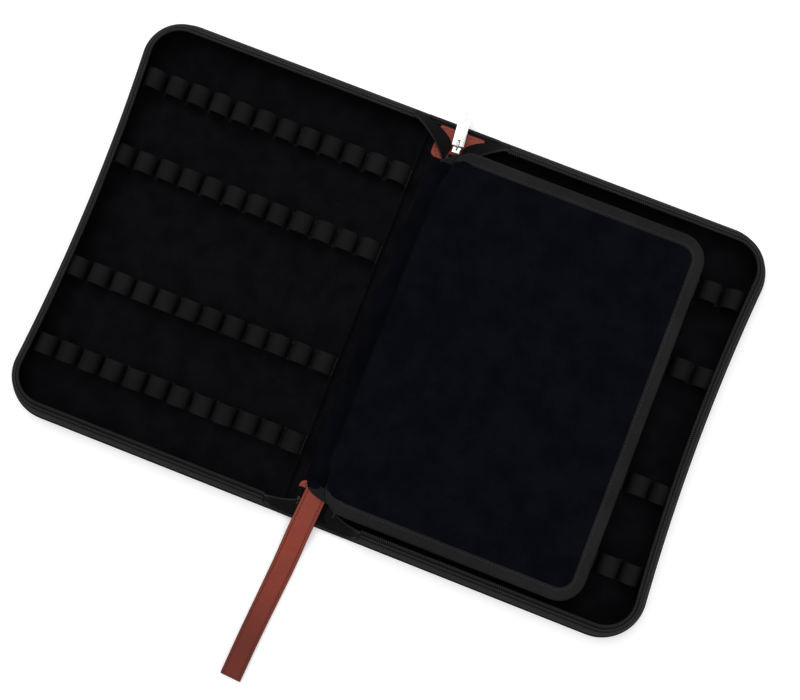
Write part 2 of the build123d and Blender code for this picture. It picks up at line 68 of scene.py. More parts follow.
# Metres in a millimetre, what there are two of, and the way up
MM = 0.001
SIDES = (("right", 1), ("left", -1))
ENDS = (("top", 1), ("bottom", -1))
UP = np.array([0.0, 0.0, 1.0])

# Distances between the points of the surfaces, from an edge inwards
STEP = 3.0
EDGE_STEPS = (0, 0.12, 0.45, 1.0)
SHEET_STEPS = (2.5, 6, 12, 20, 30, 42, 56, 72, 90, 110, 130, 145, 1e3)
PILLOW_STEPS = (2.2, 4.0, 6.5, 10.0, 1e3)
PAD_ROWS = (0, 0.15, 0.6, 1.4, 2.6, 5, 8, 9.2, 9.8, 10.6, 12, 14, 17, 21, 26)
PAD_ROOT_ROWS = (0, 0.1, 0.4, 0.9, 1.6, 2.4, 3.4, 4.6, 6, 7.6, 9, 9.8, 10.6, 12, 14, 17, 21, 26)

# Stitches: the length, width and height of each kind, and the pitches that the user doesn't set
TAPE_STITCH = (2.3, 0.55, 0.16)
LOOP_STITCH = (2.4, 0.6, 0.3)
BINDING_STITCH = (2.4, 0.6, 0.2)
PATCH_STITCH = (2.0, 0.55, 0.2)
STRAP_STITCH = (2.2, 0.62, 0.24)
PATCH_PITCH = 3.0
STRAP_PITCH = 3.1

# The case: heights above the table, distances inside its edge and distances from its middle
LEATHER = 1.2
FOAM_TOP = 3.7
TRAY_TOP = 4.5
SPINE_TOP = 3.5
RIM = 24.0
PANEL_INSET = 3.8
PANEL_START = 24.5

# The spine: its rolled ends, and the cloth (x, z) in a fold
ROLL_WIDTH = 5.0
ROLL_HEIGHT = 3.4
FOLD_CLOTH = 0.5
FOLD_CLOTH_HALF = 157.5
FOLD_PROFILE = (
    (0, 3.1), (3, 3.1), (6, 3.1), (9, 3.1), (12, 3.1), (15, 3.1), (16.8, 3.1), (17.5, 3.05), (18.1, 2.7),
    (18.6, 2.1), (19, 1.8), (19.6, 1.62), (20.6, 1.55), (21.8, 1.55), (23, 1.65), (23.7, 2.1), (24.2, 3.3),
    (24.6, 4.2), (25.2, 4.75), (26.2, 4.9), (28, 4.86),
)

# The wall and its zip
WALL_FOOT = 0.9
WALL_TILT = 5.0
WALL = 2.4
WALL_X = 38.0
COIL_INSET = 11.6
COIL_RADIUS = 1.0
COIL_WIRE = 0.34
COIL_CORE = 0.5
TAPE = 0.7
TAPE_SPAN = 9.0
TAPE_GAP = 0.1
TAPE_SHORT = 1.2
TAPE_SEAMS = (0.16, 0.72)
WALL_SHORT = 2.5
PIPING_RADIUS = 1.5

# The free tapes: where the outer and the inner edge end, and the way in which both leave the wall
UPPER_ARM = ((4.2, 142.2, 6.4), (6.5, 128.5, 5.25), (-20.0, 0.0, -10.0))
LOWER_ARM = ((8.0, 151.0, 5.6), (8.0, 139.0, 5.3), (-14.0, 0.0, -28.0))
ARM_ARRIVES = (-10.0, -34.0, 0.0)
ARM_COIL_RADIUS = 0.55
ARM_COIL_WIRE = 0.3

# The puller's pin, and how many degrees the puller lies turned about it
PIN_Y = 144.0
PULLER_LIES = 6.0

# The loops
FIRST_COLUMN = 34.0
COLUMNS = 12
LOOP_PITCH = 18.0
BANDS = (107.5, 45.5, -45.5, -107.5)
LOOP_RADIUS = 7.1
ELASTIC = 0.8
ARCH_HEIGHT = 12.0
LOOP_FILLET = 1.2
LOOP_END = 8.7

# The flap
FLAP_MIDDLE = 23.1
FLAP_LEFT = 1.0
FLAP_RIGHT = 201.0
FLAP_HALF = 141.8
FLAP_SAGS = 2.7
FLAP_CORNER = 20.0
FLAP_UPPER_ROOT = 16.5
FLAP_LOWER_ROOT = 20.0
BINDING_HALF = 2.4
BINDING = 0.6
BINDING_WIDTH = 9.5
BINDING_STARTS = radians(4)
BINDING_GROWS = 24.0
STITCH_INSET = 1.9
PAD_UNDER_BINDING = 1.75
PAD_CROWN = 3.2
PAD_INSET = 0.7
PAD_ROOT_RADIUS = 2.4
FLAP_BOARD = 1.2
BOARD_INSET = 2.6
WEB = 0.5
WEB_PROFILE = (
    (4.9, 3.84), (4.8, 3.85), (4.6, 3.85), (3.4, 3.85), (2.2, 3.9), (1.4, 4.3), (1.0, 5.2), (0.8, 7),
    (0.66, 10), (0.6, 13), (0.55, 16), (0.5, 18.5), (0.42, 20.1), (0.2, 20.5), (0.0, 20.6),
)

# The strap
STRAP_TURN = radians(3.8)
STRAP_ROOT = (-5.3, -164.0)
STRAP_ROOT_Z = 6.4
STRAP_REST_Z = 1.5
STRAP_RUN = 24.0
STRAP_INSIDE = 31.0
STRAP_GAP = 0.6
STRAP_TAPER = 0.08
STRAP_SEAM = 2.3
SEAM_DEPTH = 0.2
PATCH_HALF = 18.0
PATCH_INNER_Y = 131.0
PATCH_TOP = 4.7
# Black sheet over the lower patch as painted shade: its two edges' distances from the middle
SHADE_SHEET = (136.5, 156.6)

# The apron: curves of its two ends, from its sewn side to under the flap
APRON = 0.5
APRON_LEVEL = 3.95
APRON_BINDING = 1.2
APRON_HIGH = ((-14.6, 106.0), (-14.6, 129.0), (-7.0, 133.0), (10.0, 142.0))
APRON_LOW = ((-16.4, -112.0), (-14.5, -138.0), (-12.5, -138.0), (12.0, -142.6))
APRON_BOUND = 0.5

# The photograph's camera, fitted to the outline of the open case: degrees, millimetres and pixels
PHOTO_WIDTH = 800
CAMERA_TURN = (-4.44, -0.76, -21.33)
CAMERA_SHIFT = (-8.65, 19.56, -829.8)
CAMERA_FOCUS = 1100.0
SENSOR = 36.0

# The stage, in metres
FLOOR = 4.0
FLOOR_GLOW = 0.24
SOFT_LIGHT = 0.45


def measure(name, description, value):
    """Length property with its default in metres."""
    return bpy.props.FloatProperty(name=name, description=description, default=value, unit="LENGTH")


class PenCaseSizes(bpy.types.PropertyGroup):
    half_height: measure("Half height", "Middle of the case to its upper edge", 0.161)
    fore_edge: measure("Fore edge", "Middle of the spine to a fore edge", 0.252)
    corner_radius: measure("Corner radius", "Radius of the outer corners", 0.034)
    fore_edge_bow: measure("Fore edge bow", "How far a fore edge draws in", 0.005)
    tooth_pitch: measure("Tooth pitch", "Pitch of the zip's coil", 0.0016)
    stitch_pitch: measure("Stitch pitch", "Pitch of the seams on the cloth", 0.0032)
    elastic_width: measure("Elastic width", "Width of the elastic strips", 0.015)
    strap_width: measure("Strap width", "Width of the wrist strap", 0.0175)
    strap_length: measure("Strap length", "Flexing line to folded end", 0.122)


def colour(name, description, value):
    """Colour property with its default."""
    return bpy.props.FloatVectorProperty(
        name=name, description=description, default=value, subtype="COLOR", size=3, min=0, max=1
    )


class PenCaseColours(bpy.types.PropertyGroup):
    leather: colour("Leather", "Reddish-brown leather", (0.240, 0.042, 0.026))
    leather_edge: colour("Leather edge", "Stained edge of the leather", (0.045, 0.008, 0.006))
    leather_thread: colour("Leather thread", "Thread in the strap", (0.055, 0.010, 0.008))
    velvet: colour("Velvet", "Blue-black velvet", (0.0031, 0.0034, 0.0052))
    webbing: colour("Webbing", "Black woven tape", (0.0034, 0.0032, 0.0034))
    binding: colour("Binding", "Bound edge of the flap", (0.0095, 0.0096, 0.0104))
    elastic: colour("Elastic", "Black ribbed elastic", (0.0046, 0.0044, 0.0050))
    lining: colour("Lining", "Black suede cloth", (0.0038, 0.0038, 0.0046))
    coil: colour("Coil", "Black nylon coil", (0.009, 0.009, 0.0095))
    nickel: colour("Nickel", "Bright nickel plate", (0.50, 0.50, 0.485))
    board: colour("Board", "Grey board inside the covers", (0.35, 0.33, 0.30))
    foam: colour("Foam", "Black foam under the lining", (0.02, 0.02, 0.022))


def size(name):
    """One of the user's sizes, in millimetres."""
    return getattr(bpy.context.scene.pen_case_sizes, name) / MM


def shade(name, strength=1.0):
    """One of the user's colours as an opaque colour, made lighter or darker."""
    return (*(strength * c for c in getattr(bpy.context.scene.pen_case_colours, name)), 1.0)


# Curves and sections


def smooth(t):
    """0 up to 1 along 3t^2 - 2t^3."""
    t = np.clip(t, 0.0, 1.0)
    return t * t * (3 - 2 * t)


def rounded(depth, radius):
    """Quarter circle: sqrt(1 - (1 - depth/radius)^2), 0 at an edge and 1 from the radius inwards."""
    return np.sqrt(np.maximum(0, 1 - (1 - np.clip(depth / radius, 0, 1)) ** 2))


def unit(vectors):
    """The same directions with length 1."""
    return vectors / np.linalg.norm(vectors, axis=-1, keepdims=True)


def to_left(heading):
    """Directions in a plane turned a quarter to the left."""
    return np.stack([-heading[:, 1], heading[:, 0]], 1)


def on_circle(centre, radius, angle):
    """Points on a circle at angles in radians."""
    return centre + radius * np.stack([np.cos(angle), np.sin(angle)], -1)


def lifted(plan, height):
    """Points of a plan with a height each, or all with one."""
    return np.concatenate([plan, np.broadcast_to(height, plan.shape[:-1])[..., None]], -1)


def stacked(x, y, z):
    """Grid of points from three arrays, each spread over the rows or columns that it lacks."""
    return np.stack(np.broadcast_arrays(x, y, z), -1)


def track(parts, spacing):
    """Points along straight lines and arcs, with the normals to the left of the way they run.

    A line is ("line", start, end); an arc is ("arc", centre, radius, first, last) in radians.
    """
    points, normals = [], []
    for part in parts:
        if part[0] == "line":
            start, end = (np.array(p, float) for p in part[1:])
            run = end - start
            count = max(1, ceil(hypot(*run) / spacing))
            points.append(start + np.linspace(0, 1, count + 1)[:, None] * run)
            heading = np.repeat(run[None] / hypot(*run), count + 1, axis=0)
        else:
            centre, radius, first, last = part[1:]
            count = max(6, ceil(abs(last - first) * radius / spacing))
            angle = np.linspace(first, last, count + 1)
            points.append(on_circle(centre, radius, angle))
            heading = np.sign(last - first) * np.stack([-np.sin(angle), np.cos(angle)], 1)
        normals.append(to_left(heading))
    points, normals = np.concatenate(points), np.concatenate(normals)
    keep = np.append(True, np.hypot(*(points[1:] - points[:-1]).T) > 1e-6)
    return points[keep], normals[keep]


def tray_track(start, spacing=STEP):
    """The right tray's three open sides from the lower fold, through the bowed fore edge, and back.

    The bow b and the half length c of the fore edge's curve give its radius (b^2 + c^2) / 2b.
    """
    half, edge = size("half_height"), size("fore_edge")
    radius, bow = size("corner_radius"), size("fore_edge_bow")
    centre_x, centre_y = edge - radius, half - radius
    reach = (bow**2 + centre_y**2) / (2 * bow)
    tilt = asin(centre_y / reach)
    parts = [
        ("line", (start, -half), (centre_x, -half)),
        ("arc", (centre_x, -centre_y), radius, -pi / 2, tilt),
        ("arc", (centre_x + reach - bow, 0), reach - radius, pi + tilt, pi - tilt),
        ("arc", (centre_x, centre_y), radius, -tilt, pi / 2),
        ("line", (centre_x, half), (start, half)),
    ]
    return track(parts, spacing)


def running(points):
    """Length from the first point to each."""
    return np.append(0.0, np.cumsum(np.linalg.norm(np.diff(points, axis=0), axis=1)))


def read_off(values, length, where):
    """Rows of values along a line, read off between their lengths at these places."""
    return np.stack([np.interp(where, length, column) for column in values.T], 1)


def heading_of(line):
    """Unit direction of travel at each point of a line."""
    return unit(np.gradient(line, axis=0))


def spaced(points, normals, pitch, margin=0.0):
    """The same line in equal steps of about the pitch: points, normals and directions."""
    length = running(points)
    count = max(2, round((length[-1] - 2 * margin) / pitch))
    at = np.linspace(margin, length[-1] - margin, count)
    step = min(0.5, pitch / 4)
    ahead = read_off(points, length, np.minimum(at + step, length[-1]))
    behind = read_off(points, length, np.maximum(at - step, 0))
    return read_off(points, length, at), unit(read_off(normals, length, at)), unit(ahead - behind)


def steps_with_ends(length, round_length, count):
    """Distances from 0 to the length, close together in the rounded part at each end."""
    near = round_length * np.array(EDGE_STEPS)
    middle = np.linspace(round_length, length - round_length, count)[1:-1]
    return np.concatenate([near, middle, length - near[::-1]])


def band(line, thickness):
    """Closed section of a strip that follows a line, with rounded ends.

    The line is pushed out to both sides by t/2 * sqrt(1 - (1 - min(e / (t/2), 1))^2), where e is
    the distance along it to the nearer end. The points go out along one side and back along the
    other, so that point k and point -1-k face each other.
    """
    length = running(line)
    push = thickness / 2 * rounded(np.minimum(length, length[-1] - length), thickness / 2)
    aside = push[:, None] * to_left(heading_of(line))
    return np.concatenate([line + aside, (line - aside)[::-1]])


def flat_band(width, thickness, count):
    """Section of a flat strip across its middle: local x across, local y up."""
    across = steps_with_ends(width, thickness / 2, count) - width / 2
    return band(np.stack([across, np.zeros_like(across)], 1), thickness)


def round_band(radius, sides):
    """Round section, with its points in facing pairs."""
    angle = pi - (np.arange(sides) + 0.5) * 2 * pi / sides
    return radius * np.stack([np.cos(angle), np.sin(angle)], 1)


def carried(points, normals, section):
    """Grid: each section point (inset, height) moved in from the edge along its normal."""
    section = np.broadcast_to(section, (len(points), *np.shape(section)[-2:]))
    return lifted(points[:, None, :] + section[..., :1] * normals[:, None, :], section[..., 1])


def capped(points):
    """A grid with a row at each end in which facing points meet, which closes the strip."""
    ends = [(row + row[::-1]) / 2 for row in (points[0], points[-1])]
    return np.concatenate([ends[0][None], points, ends[1][None]])


def closed_at(grid, height):
    """A grid with its first and last rows repeated at one height, which closes the piece."""
    flat = grid[[0, -1]]
    flat[..., 2] = height
    return np.concatenate([flat[:1], grid, flat[1:]])


def wave(u, v, seed, amount):
    """Gentle unevenness: a sum of four slow sine waves with set directions and phases."""
    draw = np.random.default_rng(seed)
    total = np.zeros(np.broadcast(u, v).shape)
    for _ in range(4):
        length = draw.uniform(18, 70)
        angle, phase = draw.uniform(0, 2 * pi, 2)
        total = total + np.sin(2 * pi * (u * cos(angle) + v * sin(angle)) / length + phase)
    return amount * total / 4


# Meshes


def grid_lengths(points, axis, wrap):
    """Mean running length of a grid in one direction, in metres."""
    if wrap:
        points = np.concatenate([points, points[:, :1]], axis=1)
    gaps = np.linalg.norm(np.diff(points, axis=axis), axis=-1).mean(axis=1 - axis)
    return np.append(0.0, np.cumsum(gaps)) * MM


def skin(points, wrap=True, finish=0, edge=None):
    """A grid of points as quads, with lengths along and across as its UV map."""
    rows, columns = points.shape[:2]
    row = np.arange(rows - 1)[:, None]
    column = np.arange(columns if wrap else columns - 1)[None, :]
    after = (column + 1) % columns
    corners = [
        row * columns + column,
        row * columns + after,
        (row + 1) * columns + after,
        (row + 1) * columns + column,
    ]
    along = grid_lengths(points, 0, False)
    across = grid_lengths(points, 1, wrap)
    shape = (rows - 1, column.shape[1])
    u = [np.broadcast_to(along[row + k], shape) for k in (0, 0, 1, 1)]
    v = [np.broadcast_to(across[column + k], shape) for k in (0, 1, 1, 0)]
    faces = np.stack([np.broadcast_to(c, shape) for c in corners], -1).reshape(-1, 4)
    uv = np.stack([np.stack(u, -1), np.stack(v, -1)], -1).reshape(-1, 4, 2)
    edge = np.zeros(rows * columns) if edge is None else np.broadcast_to(edge, (rows, columns)).ravel()
    return points.reshape(-1, 3), faces, uv, np.full(len(faces), finish), edge


def copies(template, centres, along, up, finish=0):
    """A small closed grid set at many places: its x along one direction and its z up another."""
    vertices, faces, uv, _, _ = skin(template)
    side = np.cross(up, along)
    placed = (
        centres[:, None]
        + vertices[None, :, 0:1] * along[:, None]
        + vertices[None, :, 1:2] * side[:, None]
        + vertices[None, :, 2:3] * up[:, None]
    )
    count, per_copy = len(centres), len(vertices)
    offsets = np.arange(count)[:, None, None] * per_copy
    return (
        placed.reshape(-1, 3),
        (faces[None] + offsets).reshape(-1, 4),
        np.tile(uv, (count, 1, 1)),
        np.full(count * len(faces), finish),
        np.zeros(count * per_copy),
    )


def stitch(length, width, height, sides=5):
    """A stitch lying along x: an ellipse section that narrows to a point at both ends."""
    turn = np.linspace(-pi / 2, pi / 2, sides)
    around = (np.arange(sides) + 0.5) * 2 * pi / sides
    x = length / 2 * np.sin(turn)[:, None]
    y = width / 2 * np.cos(turn)[:, None] * np.cos(around)
    z = height * np.cos(turn)[:, None] * np.sin(around)
    return stacked(x, y, z)


def seam(kind, spots, heights, heading, up=UP):
    """Stitches of one length, width and height, at spots of a plan and along their headings."""
    along = lifted(heading, 0.0)
    return copies(stitch(*kind), lifted(spots, heights), along, np.broadcast_to(up, along.shape), finish=1)


def add_object(name, data):
    """A new object in the scene."""
    made = bpy.data.objects.new(name, data)
    bpy.context.scene.collection.objects.link(made)
    return made


def new_piece(name, parts, slot, *finishes, sign=1):
    """One object of one or more skins, its doubles merged and its faces turned outwards.

    Sign -1 puts the skins on the other side of the spine.
    """
    points, faces, uvs, numbers, edges = zip(*parts)
    starts = np.cumsum([0] + [len(p) for p in points])
    vertices = np.concatenate(points) * np.array([sign, 1, 1]) * MM
    faces = np.concatenate([face + start for face, start in zip(faces, starts)])
    mesh = bpy.data.meshes.new(name)
    mesh.from_pydata(vertices.tolist(), [], faces.tolist())
    mesh.uv_layers.new(name="UVMap").data.foreach_set("uv", np.concatenate(uvs).astype(np.float32).ravel())
    mesh.polygons.foreach_set("material_index", np.concatenate(numbers).astype(np.int32))
    worn = mesh.attributes.new("edge", "FLOAT", "POINT")
    worn.data.foreach_set("value", np.concatenate(edges).astype(np.float32))
    for each in finishes:
        mesh.materials.append(finish(each))
    cleaned = bmesh.new()
    cleaned.from_mesh(mesh)
    bmesh.ops.remove_doubles(cleaned, verts=cleaned.verts, dist=1e-7)
    bmesh.ops.dissolve_degenerate(cleaned, edges=cleaned.edges, dist=1e-8)
    bmesh.ops.recalc_face_normals(cleaned, faces=cleaned.faces)
    cleaned.to_mesh(mesh)
    cleaned.free()
    mesh.shade_smooth()
    mesh.set_sharp_from_angle(angle=radians(50))
    piece = add_object(name, mesh)
    return piece


def bend_with_tray(piece):
    """Bakes the piece's place into its mesh."""
    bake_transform(piece)


def softened(node, name, finish_name, body, width):
    """A copy of a CAD node with its loose triangles merged and its edges rounded."""
    mesh = frame["nodes"][node].data.copy()
    mesh.name = name
    mesh.materials.clear()
    mesh.materials.append(finish(finish_name))
    merged = bmesh.new()
    merged.from_mesh(mesh)
    bmesh.ops.remove_doubles(merged, verts=merged.verts, dist=1e-6)
    bmesh.ops.dissolve_limit(merged, angle_limit=radians(1), verts=merged.verts, edges=merged.edges)
    bmesh.ops.recalc_face_normals(merged, faces=merged.faces)
    for face in merged.faces:
        face.material_index = 0
    merged.to_mesh(mesh)
    merged.free()
    mesh.shade_smooth()
    mesh.set_sharp_from_angle(angle=radians(40))
    piece = add_object(name, mesh)
    round_edges = piece.modifiers.new("round_edges", "BEVEL")
    round_edges.width = width * MM
    round_edges.segments = 3
    round_edges.limit_method = "ANGLE"
    round_edges.angle_limit = radians(30)
    round_edges.harden_normals = False
    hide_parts(node)
    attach(piece, body)
    return piece


# Finishes


def wire(tree, node, **values):
    """Sets or links a node's inputs by name; i0, i1 are inputs by number."""
    for key, value in values.items():
        by_number = key[0] == "i" and key[1:].isdigit()
        socket = node.inputs[int(key[1:])] if by_number else node.inputs[key.replace("_", " ")]
        if isinstance(value, bpy.types.NodeSocket):
            tree.links.new(value, socket)
        else:
            socket.default_value = value
    return node


def add(tree, kind, settings=None, **values):
    """A node with its settings and its inputs."""
    made = tree.nodes.new(kind)
    for key, value in (settings or {}).items():
        setattr(made, key, value)
    return wire(tree, made, **values)


def maths(tree, operation, *values):
    """Result of a Math node."""
    numbered = {f"i{k}": value for k, value in enumerate(values)}
    return add(tree, "ShaderNodeMath", {"operation": operation}, **numbered).outputs[0]


def times(tree, first, second):
    """Product of two values."""
    return maths(tree, "MULTIPLY", first, second)


def sine(tree, value, rate, turn):
    """Sine wave: the value times its rate is a count of these turns."""
    return maths(tree, "SINE", times(tree, times(tree, value, rate), turn))


def noise(tree, vector, scale, detail, **more):
    """Value of a noise texture."""
    return add(tree, "ShaderNodeTexNoise", Vector=vector, Scale=scale, Detail=detail, **more).outputs[0]


def span(tree, value, low, high, top=1.0, kind="LINEAR"):
    """The value stretched so that low gives 0 and high gives the top value."""
    settings = {"interpolation_type": kind}
    ends = {"From_Min": low, "From_Max": high, "To_Max": top}
    return add(tree, "ShaderNodeMapRange", settings, Value=value, **ends).outputs[0]


def blended(tree, mask, first, second):
    """Colour between two by a mask."""
    return add(tree, "ShaderNodeMix", {"data_type": "RGBA"}, i0=mask, i6=first, i7=second).outputs[2]


def new_group(name, inputs, outputs):
    """An empty shader group: a colour or a number as an input's value, or none for a vector."""
    kinds = {type(None): "NodeSocketVector", float: "NodeSocketFloat", tuple: "NodeSocketColor"}
    tree = bpy.data.node_groups.new(name, "ShaderNodeTree")
    for label, value in inputs.items():
        socket = tree.interface.new_socket(label, in_out="INPUT", socket_type=kinds[type(value)])
        if value is not None:
            socket.default_value = value
    for label in outputs:
        kind = kinds[tuple if label == "Colour" else float]
        tree.interface.new_socket(label, in_out="OUTPUT", socket_type=kind)
    return tree, tree.nodes.new("NodeGroupInput").outputs, tree.nodes.new("NodeGroupOutput")


def build_grain(name):
    """Pebbles of leather: distance to the edges of small cells, broken by fine noise, and a mask of their
    hollows for painted shade.
    """
    tree, given, result = new_group(name, {"Vector": None, "Cells": 900.0}, ("Height", "Crease"))
    place_of = given["Vector"]
    warp = add(tree, "ShaderNodeTexNoise", Vector=place_of, Scale=400.0, Detail=3.0).outputs["Color"]
    shift = add(tree, "ShaderNodeVectorMath", {"operation": "SCALE"}, i0=warp, Scale=0.0006).outputs[0]
    moved = add(tree, "ShaderNodeVectorMath", {"operation": "ADD"}, i0=place_of, i1=shift).outputs[0]
    to_edge = {"feature": "DISTANCE_TO_EDGE"}
    cells = add(tree, "ShaderNodeTexVoronoi", to_edge, Vector=moved, Scale=given["Cells"]).outputs[0]
    rise = span(tree, cells, 0.0, 0.22, kind="SMOOTHSTEP")
    fine = times(tree, noise(tree, place_of, 2600.0, 4.0), 0.5)
    wire(tree, result, Height=maths(tree, "ADD", rise, fine), Crease=maths(tree, "SUBTRACT", 1.0, rise))
    return tree


def build_mottle(name):
    """Colour that drifts between two shades in soft patches, with finer flecks on top."""
    shades = {"Dark": (0.0, 0.0, 0.0, 1.0), "Light": (1.0, 1.0, 1.0, 1.0)}
    inputs = {"Vector": None, "Patch scale": 20.0, "Fleck scale": 500.0, **shades}
    tree, given, result = new_group(name, inputs, ("Colour", "Mask"))
    patch = times(tree, noise(tree, given["Vector"], given["Patch scale"], 4.0), 0.65)
    fleck = times(tree, noise(tree, given["Vector"], given["Fleck scale"], 3.0), 0.35)
    mask = span(tree, maths(tree, "ADD", patch, fleck), 0.36, 0.64, kind="SMOOTHSTEP")
    wire(tree, result, Colour=blended(tree, mask, given["Dark"], given["Light"]), Mask=mask)
    return tree


def build_weave(name):
    """Plain weave: the product of two sine waves, one per thread each way, with a little noise, and a mask of
    the gaps for painted shade.
    """
    inputs = {"Vector": None, "Along": 1500.0, "Across": 1500.0, "Fuzz": 0.25}
    tree, given, result = new_group(name, inputs, ("Height", "Gap"))
    split = add(tree, "ShaderNodeSeparateXYZ", Vector=given["Vector"]).outputs
    both = times(
        tree, sine(tree, split[0], given["Along"], 2 * pi), sine(tree, split[1], given["Across"], 2 * pi)
    )
    fuzz = times(tree, noise(tree, given["Vector"], 3000.0, 2.0), given["Fuzz"])
    height = maths(tree, "ADD", maths(tree, "MULTIPLY_ADD", both, 0.5, 0.5), fuzz)
    wire(tree, result, Height=height, Gap=span(tree, both, -0.2, -1.0))
    return tree


def build_ribs(name):
    """Ribs along a strip: a rectified sine across it, nicked by finer waves along it, and a mask of the
    grooves for painted shade.
    """
    inputs = {"Vector": None, "Ribs": 900.0, "Nicks": 1400.0}
    tree, given, result = new_group(name, inputs, ("Height", "Groove"))
    split = add(tree, "ShaderNodeSeparateXYZ", Vector=given["Vector"]).outputs
    rib = maths(tree, "ABSOLUTE", sine(tree, split[1], given["Ribs"], pi))
    nick = times(tree, sine(tree, split[0], given["Nicks"], 2 * pi), 0.18)
    wire(tree, result, Height=maths(tree, "ADD", rib, nick), Groove=span(tree, rib, 0.45, 0.0))
    return tree


GROUPS = {"leather_grain": build_grain, "mottle": build_mottle, "weave": build_weave, "ribs": build_ribs}


def place(tree, name, **values):
    """Outputs of a shader group in a material, built the first time that it is asked for."""
    group = bpy.data.node_groups.get(name) or GROUPS[name](name)
    return add(tree, "ShaderNodeGroup", {"node_tree": group}, **values).outputs


def mottled(tree, vector, colour_name, patches, flecks, dark, light):
    """The mottle between a darker and a lighter shade of a colour."""
    values = {"Patch_scale": patches, "Fleck_scale": flecks, "Vector": vector}
    shades = {"Dark": shade(colour_name, dark), "Light": shade(colour_name, light)}
    return place(tree, "mottle", **values, **shades)


def new_finish(name, roughness, specular, metallic=0.0):
    """A material with its shader's plain values: its tree and shader, object and UV coordinates."""
    material = bpy.data.materials.new(name)
    material.use_nodes = True
    tree = material.node_tree
    shader = next(n for n in tree.nodes if n.type == "BSDF_PRINCIPLED")
    wire(tree, shader, Roughness=roughness, Specular_IOR_Level=specular, Metallic=metallic)
    found = tree.nodes.new("ShaderNodeTexCoord").outputs
    return tree, shader, found["Object"], found["UV"]


def bump(tree, shader, height, depth):
    """Height in the range 0 to 1 as a bump of this depth in millimetres."""
    made = add(tree, "ShaderNodeBump", Height=height, Distance=depth * MM, Strength=1.0)
    wire(tree, shader, Normal=made.outputs[0])


def leather_finish(name):
    """Smooth reddish-brown leather: fine pebbles with painted shade in their hollows, soft colour patches,
    dark stained edges.

    Painted shade darkens the strap towards its folded end.
    """
    tree, shader, place_of, _ = new_finish(name, 0.42, 0.14)
    grain = place(tree, "leather_grain", Vector=place_of, Cells=1150.0)
    tint = mottled(tree, place_of, "leather", 38.0, 650.0, 0.91, 1.10)
    # Painted shade in the hollows between the grain's pebbles
    shaded_grain = blended(tree, times(tree, grain["Crease"], 0.22), tint["Colour"], shade("leather", 0.45))
    worn = add(tree, "ShaderNodeAttribute", {"attribute_name": "edge"}).outputs["Fac"]
    base = blended(tree, worn, shaded_grain, shade("leather_edge"))
    along_case = add(tree, "ShaderNodeSeparateXYZ", Vector=place_of).outputs[1]
    # Painted shade: the strap darkens away from the case towards its folded end
    painted_strap_shade = span(tree, along_case, -0.178, -0.26, 0.75)
    base = blended(tree, painted_strap_shade, base, shade("leather", 0.35))
    wire(tree, shader, Base_Color=base, Roughness=maths(tree, "MULTIPLY_ADD", tint["Mask"], -0.10, 0.48))
    bump(tree, shader, grain["Height"], 0.035)


def napped_finish(name, colour_name, patches, flecks, nap, detail, roughness, depth):
    """Short pile: soft brushed patches and a fine uneven nap."""
    tree, shader, place_of, _ = new_finish(name, 0.95, 0.0)
    tint = mottled(tree, place_of, colour_name, patches, flecks, 0.8, 1.25)
    wire(tree, shader, Base_Color=tint["Colour"])
    bump(tree, shader, noise(tree, place_of, nap, detail, Roughness=roughness), depth)


def cloth_finish(name, colour_name, threads, depth, specular=0.035):
    """Plain woven cloth on the piece's own UV map, with painted shade in the gaps between the threads."""
    tree, shader, place_of, lengths = new_finish(name, 0.82, specular)
    weave = place(tree, "weave", Vector=lengths, Along=threads, Across=threads)
    tint = mottled(tree, place_of, colour_name, 30.0, 700.0, 0.75, 1.3)
    # Painted shade: the gaps between the threads darkened
    gap = times(tree, weave["Gap"], 0.55)
    wire(tree, shader, Base_Color=blended(tree, gap, tint["Colour"], shade(colour_name, 0.35)))
    bump(tree, shader, weave["Height"], depth)


def ribbed_finish(name, colour_name, ribs, nicks, depth, specular=0.045, cords=None):
    """Ribbed tape or elastic on the piece's own UV map: ribs run along it, and wider cords if given. The
    grooves get painted shade, the cords' tops painted highlights.
    """
    tree, shader, place_of, lengths = new_finish(name, 0.72, specular)
    rib = place(tree, "ribs", Vector=lengths, Ribs=ribs, Nicks=nicks)
    tint = mottled(tree, place_of, colour_name, 24.0, 800.0, 0.8, 1.35)
    # Painted shade in the grooves between the ribs
    base = blended(tree, times(tree, rib["Groove"], 0.6), tint["Colour"], shade(colour_name, 0.3))
    if cords:
        broad = place(tree, "ribs", Vector=lengths, Ribs=cords, Nicks=0.0)
        # Painted highlight on the tops of the wide cords, and painted shade in the grooves between them
        raised = times(tree, maths(tree, "POWER", broad["Height"], 3.0), 0.9)
        base = blended(tree, raised, base, shade(colour_name, 6.5))
        base = blended(tree, times(tree, broad["Groove"], 0.95), base, shade(colour_name, 0.12))
    wire(tree, shader, Base_Color=base)
    bump(tree, shader, rib["Height"], depth)


def coil_finish(name):
    """Nylon of the zip's coil: smooth, with a little haze."""
    tree, shader, place_of, _ = new_finish(name, 0.38, 0.3)
    tint = mottled(tree, place_of, "coil", 60.0, 1500.0, 0.8, 1.3)
    haze = maths(tree, "MULTIPLY_ADD", tint["Mask"], 0.15, 0.32)
    wire(tree, shader, Base_Color=tint["Colour"], Roughness=haze)


def thread_finish(name, colour_name, strength):
    """Twisted thread: short slanting strands along each stitch, with painted shade between them."""
    tree, shader, _, lengths = new_finish(name, 0.6, 0.25)
    twist = place(tree, "ribs", Vector=lengths, Ribs=5200.0, Nicks=2200.0)
    light, dark = shade(colour_name, strength), shade(colour_name, 0.5 * strength)
    # Painted shade between the strands
    wire(tree, shader, Base_Color=blended(tree, twist["Groove"], light, dark))
    bump(tree, shader, twist["Height"], 0.03)


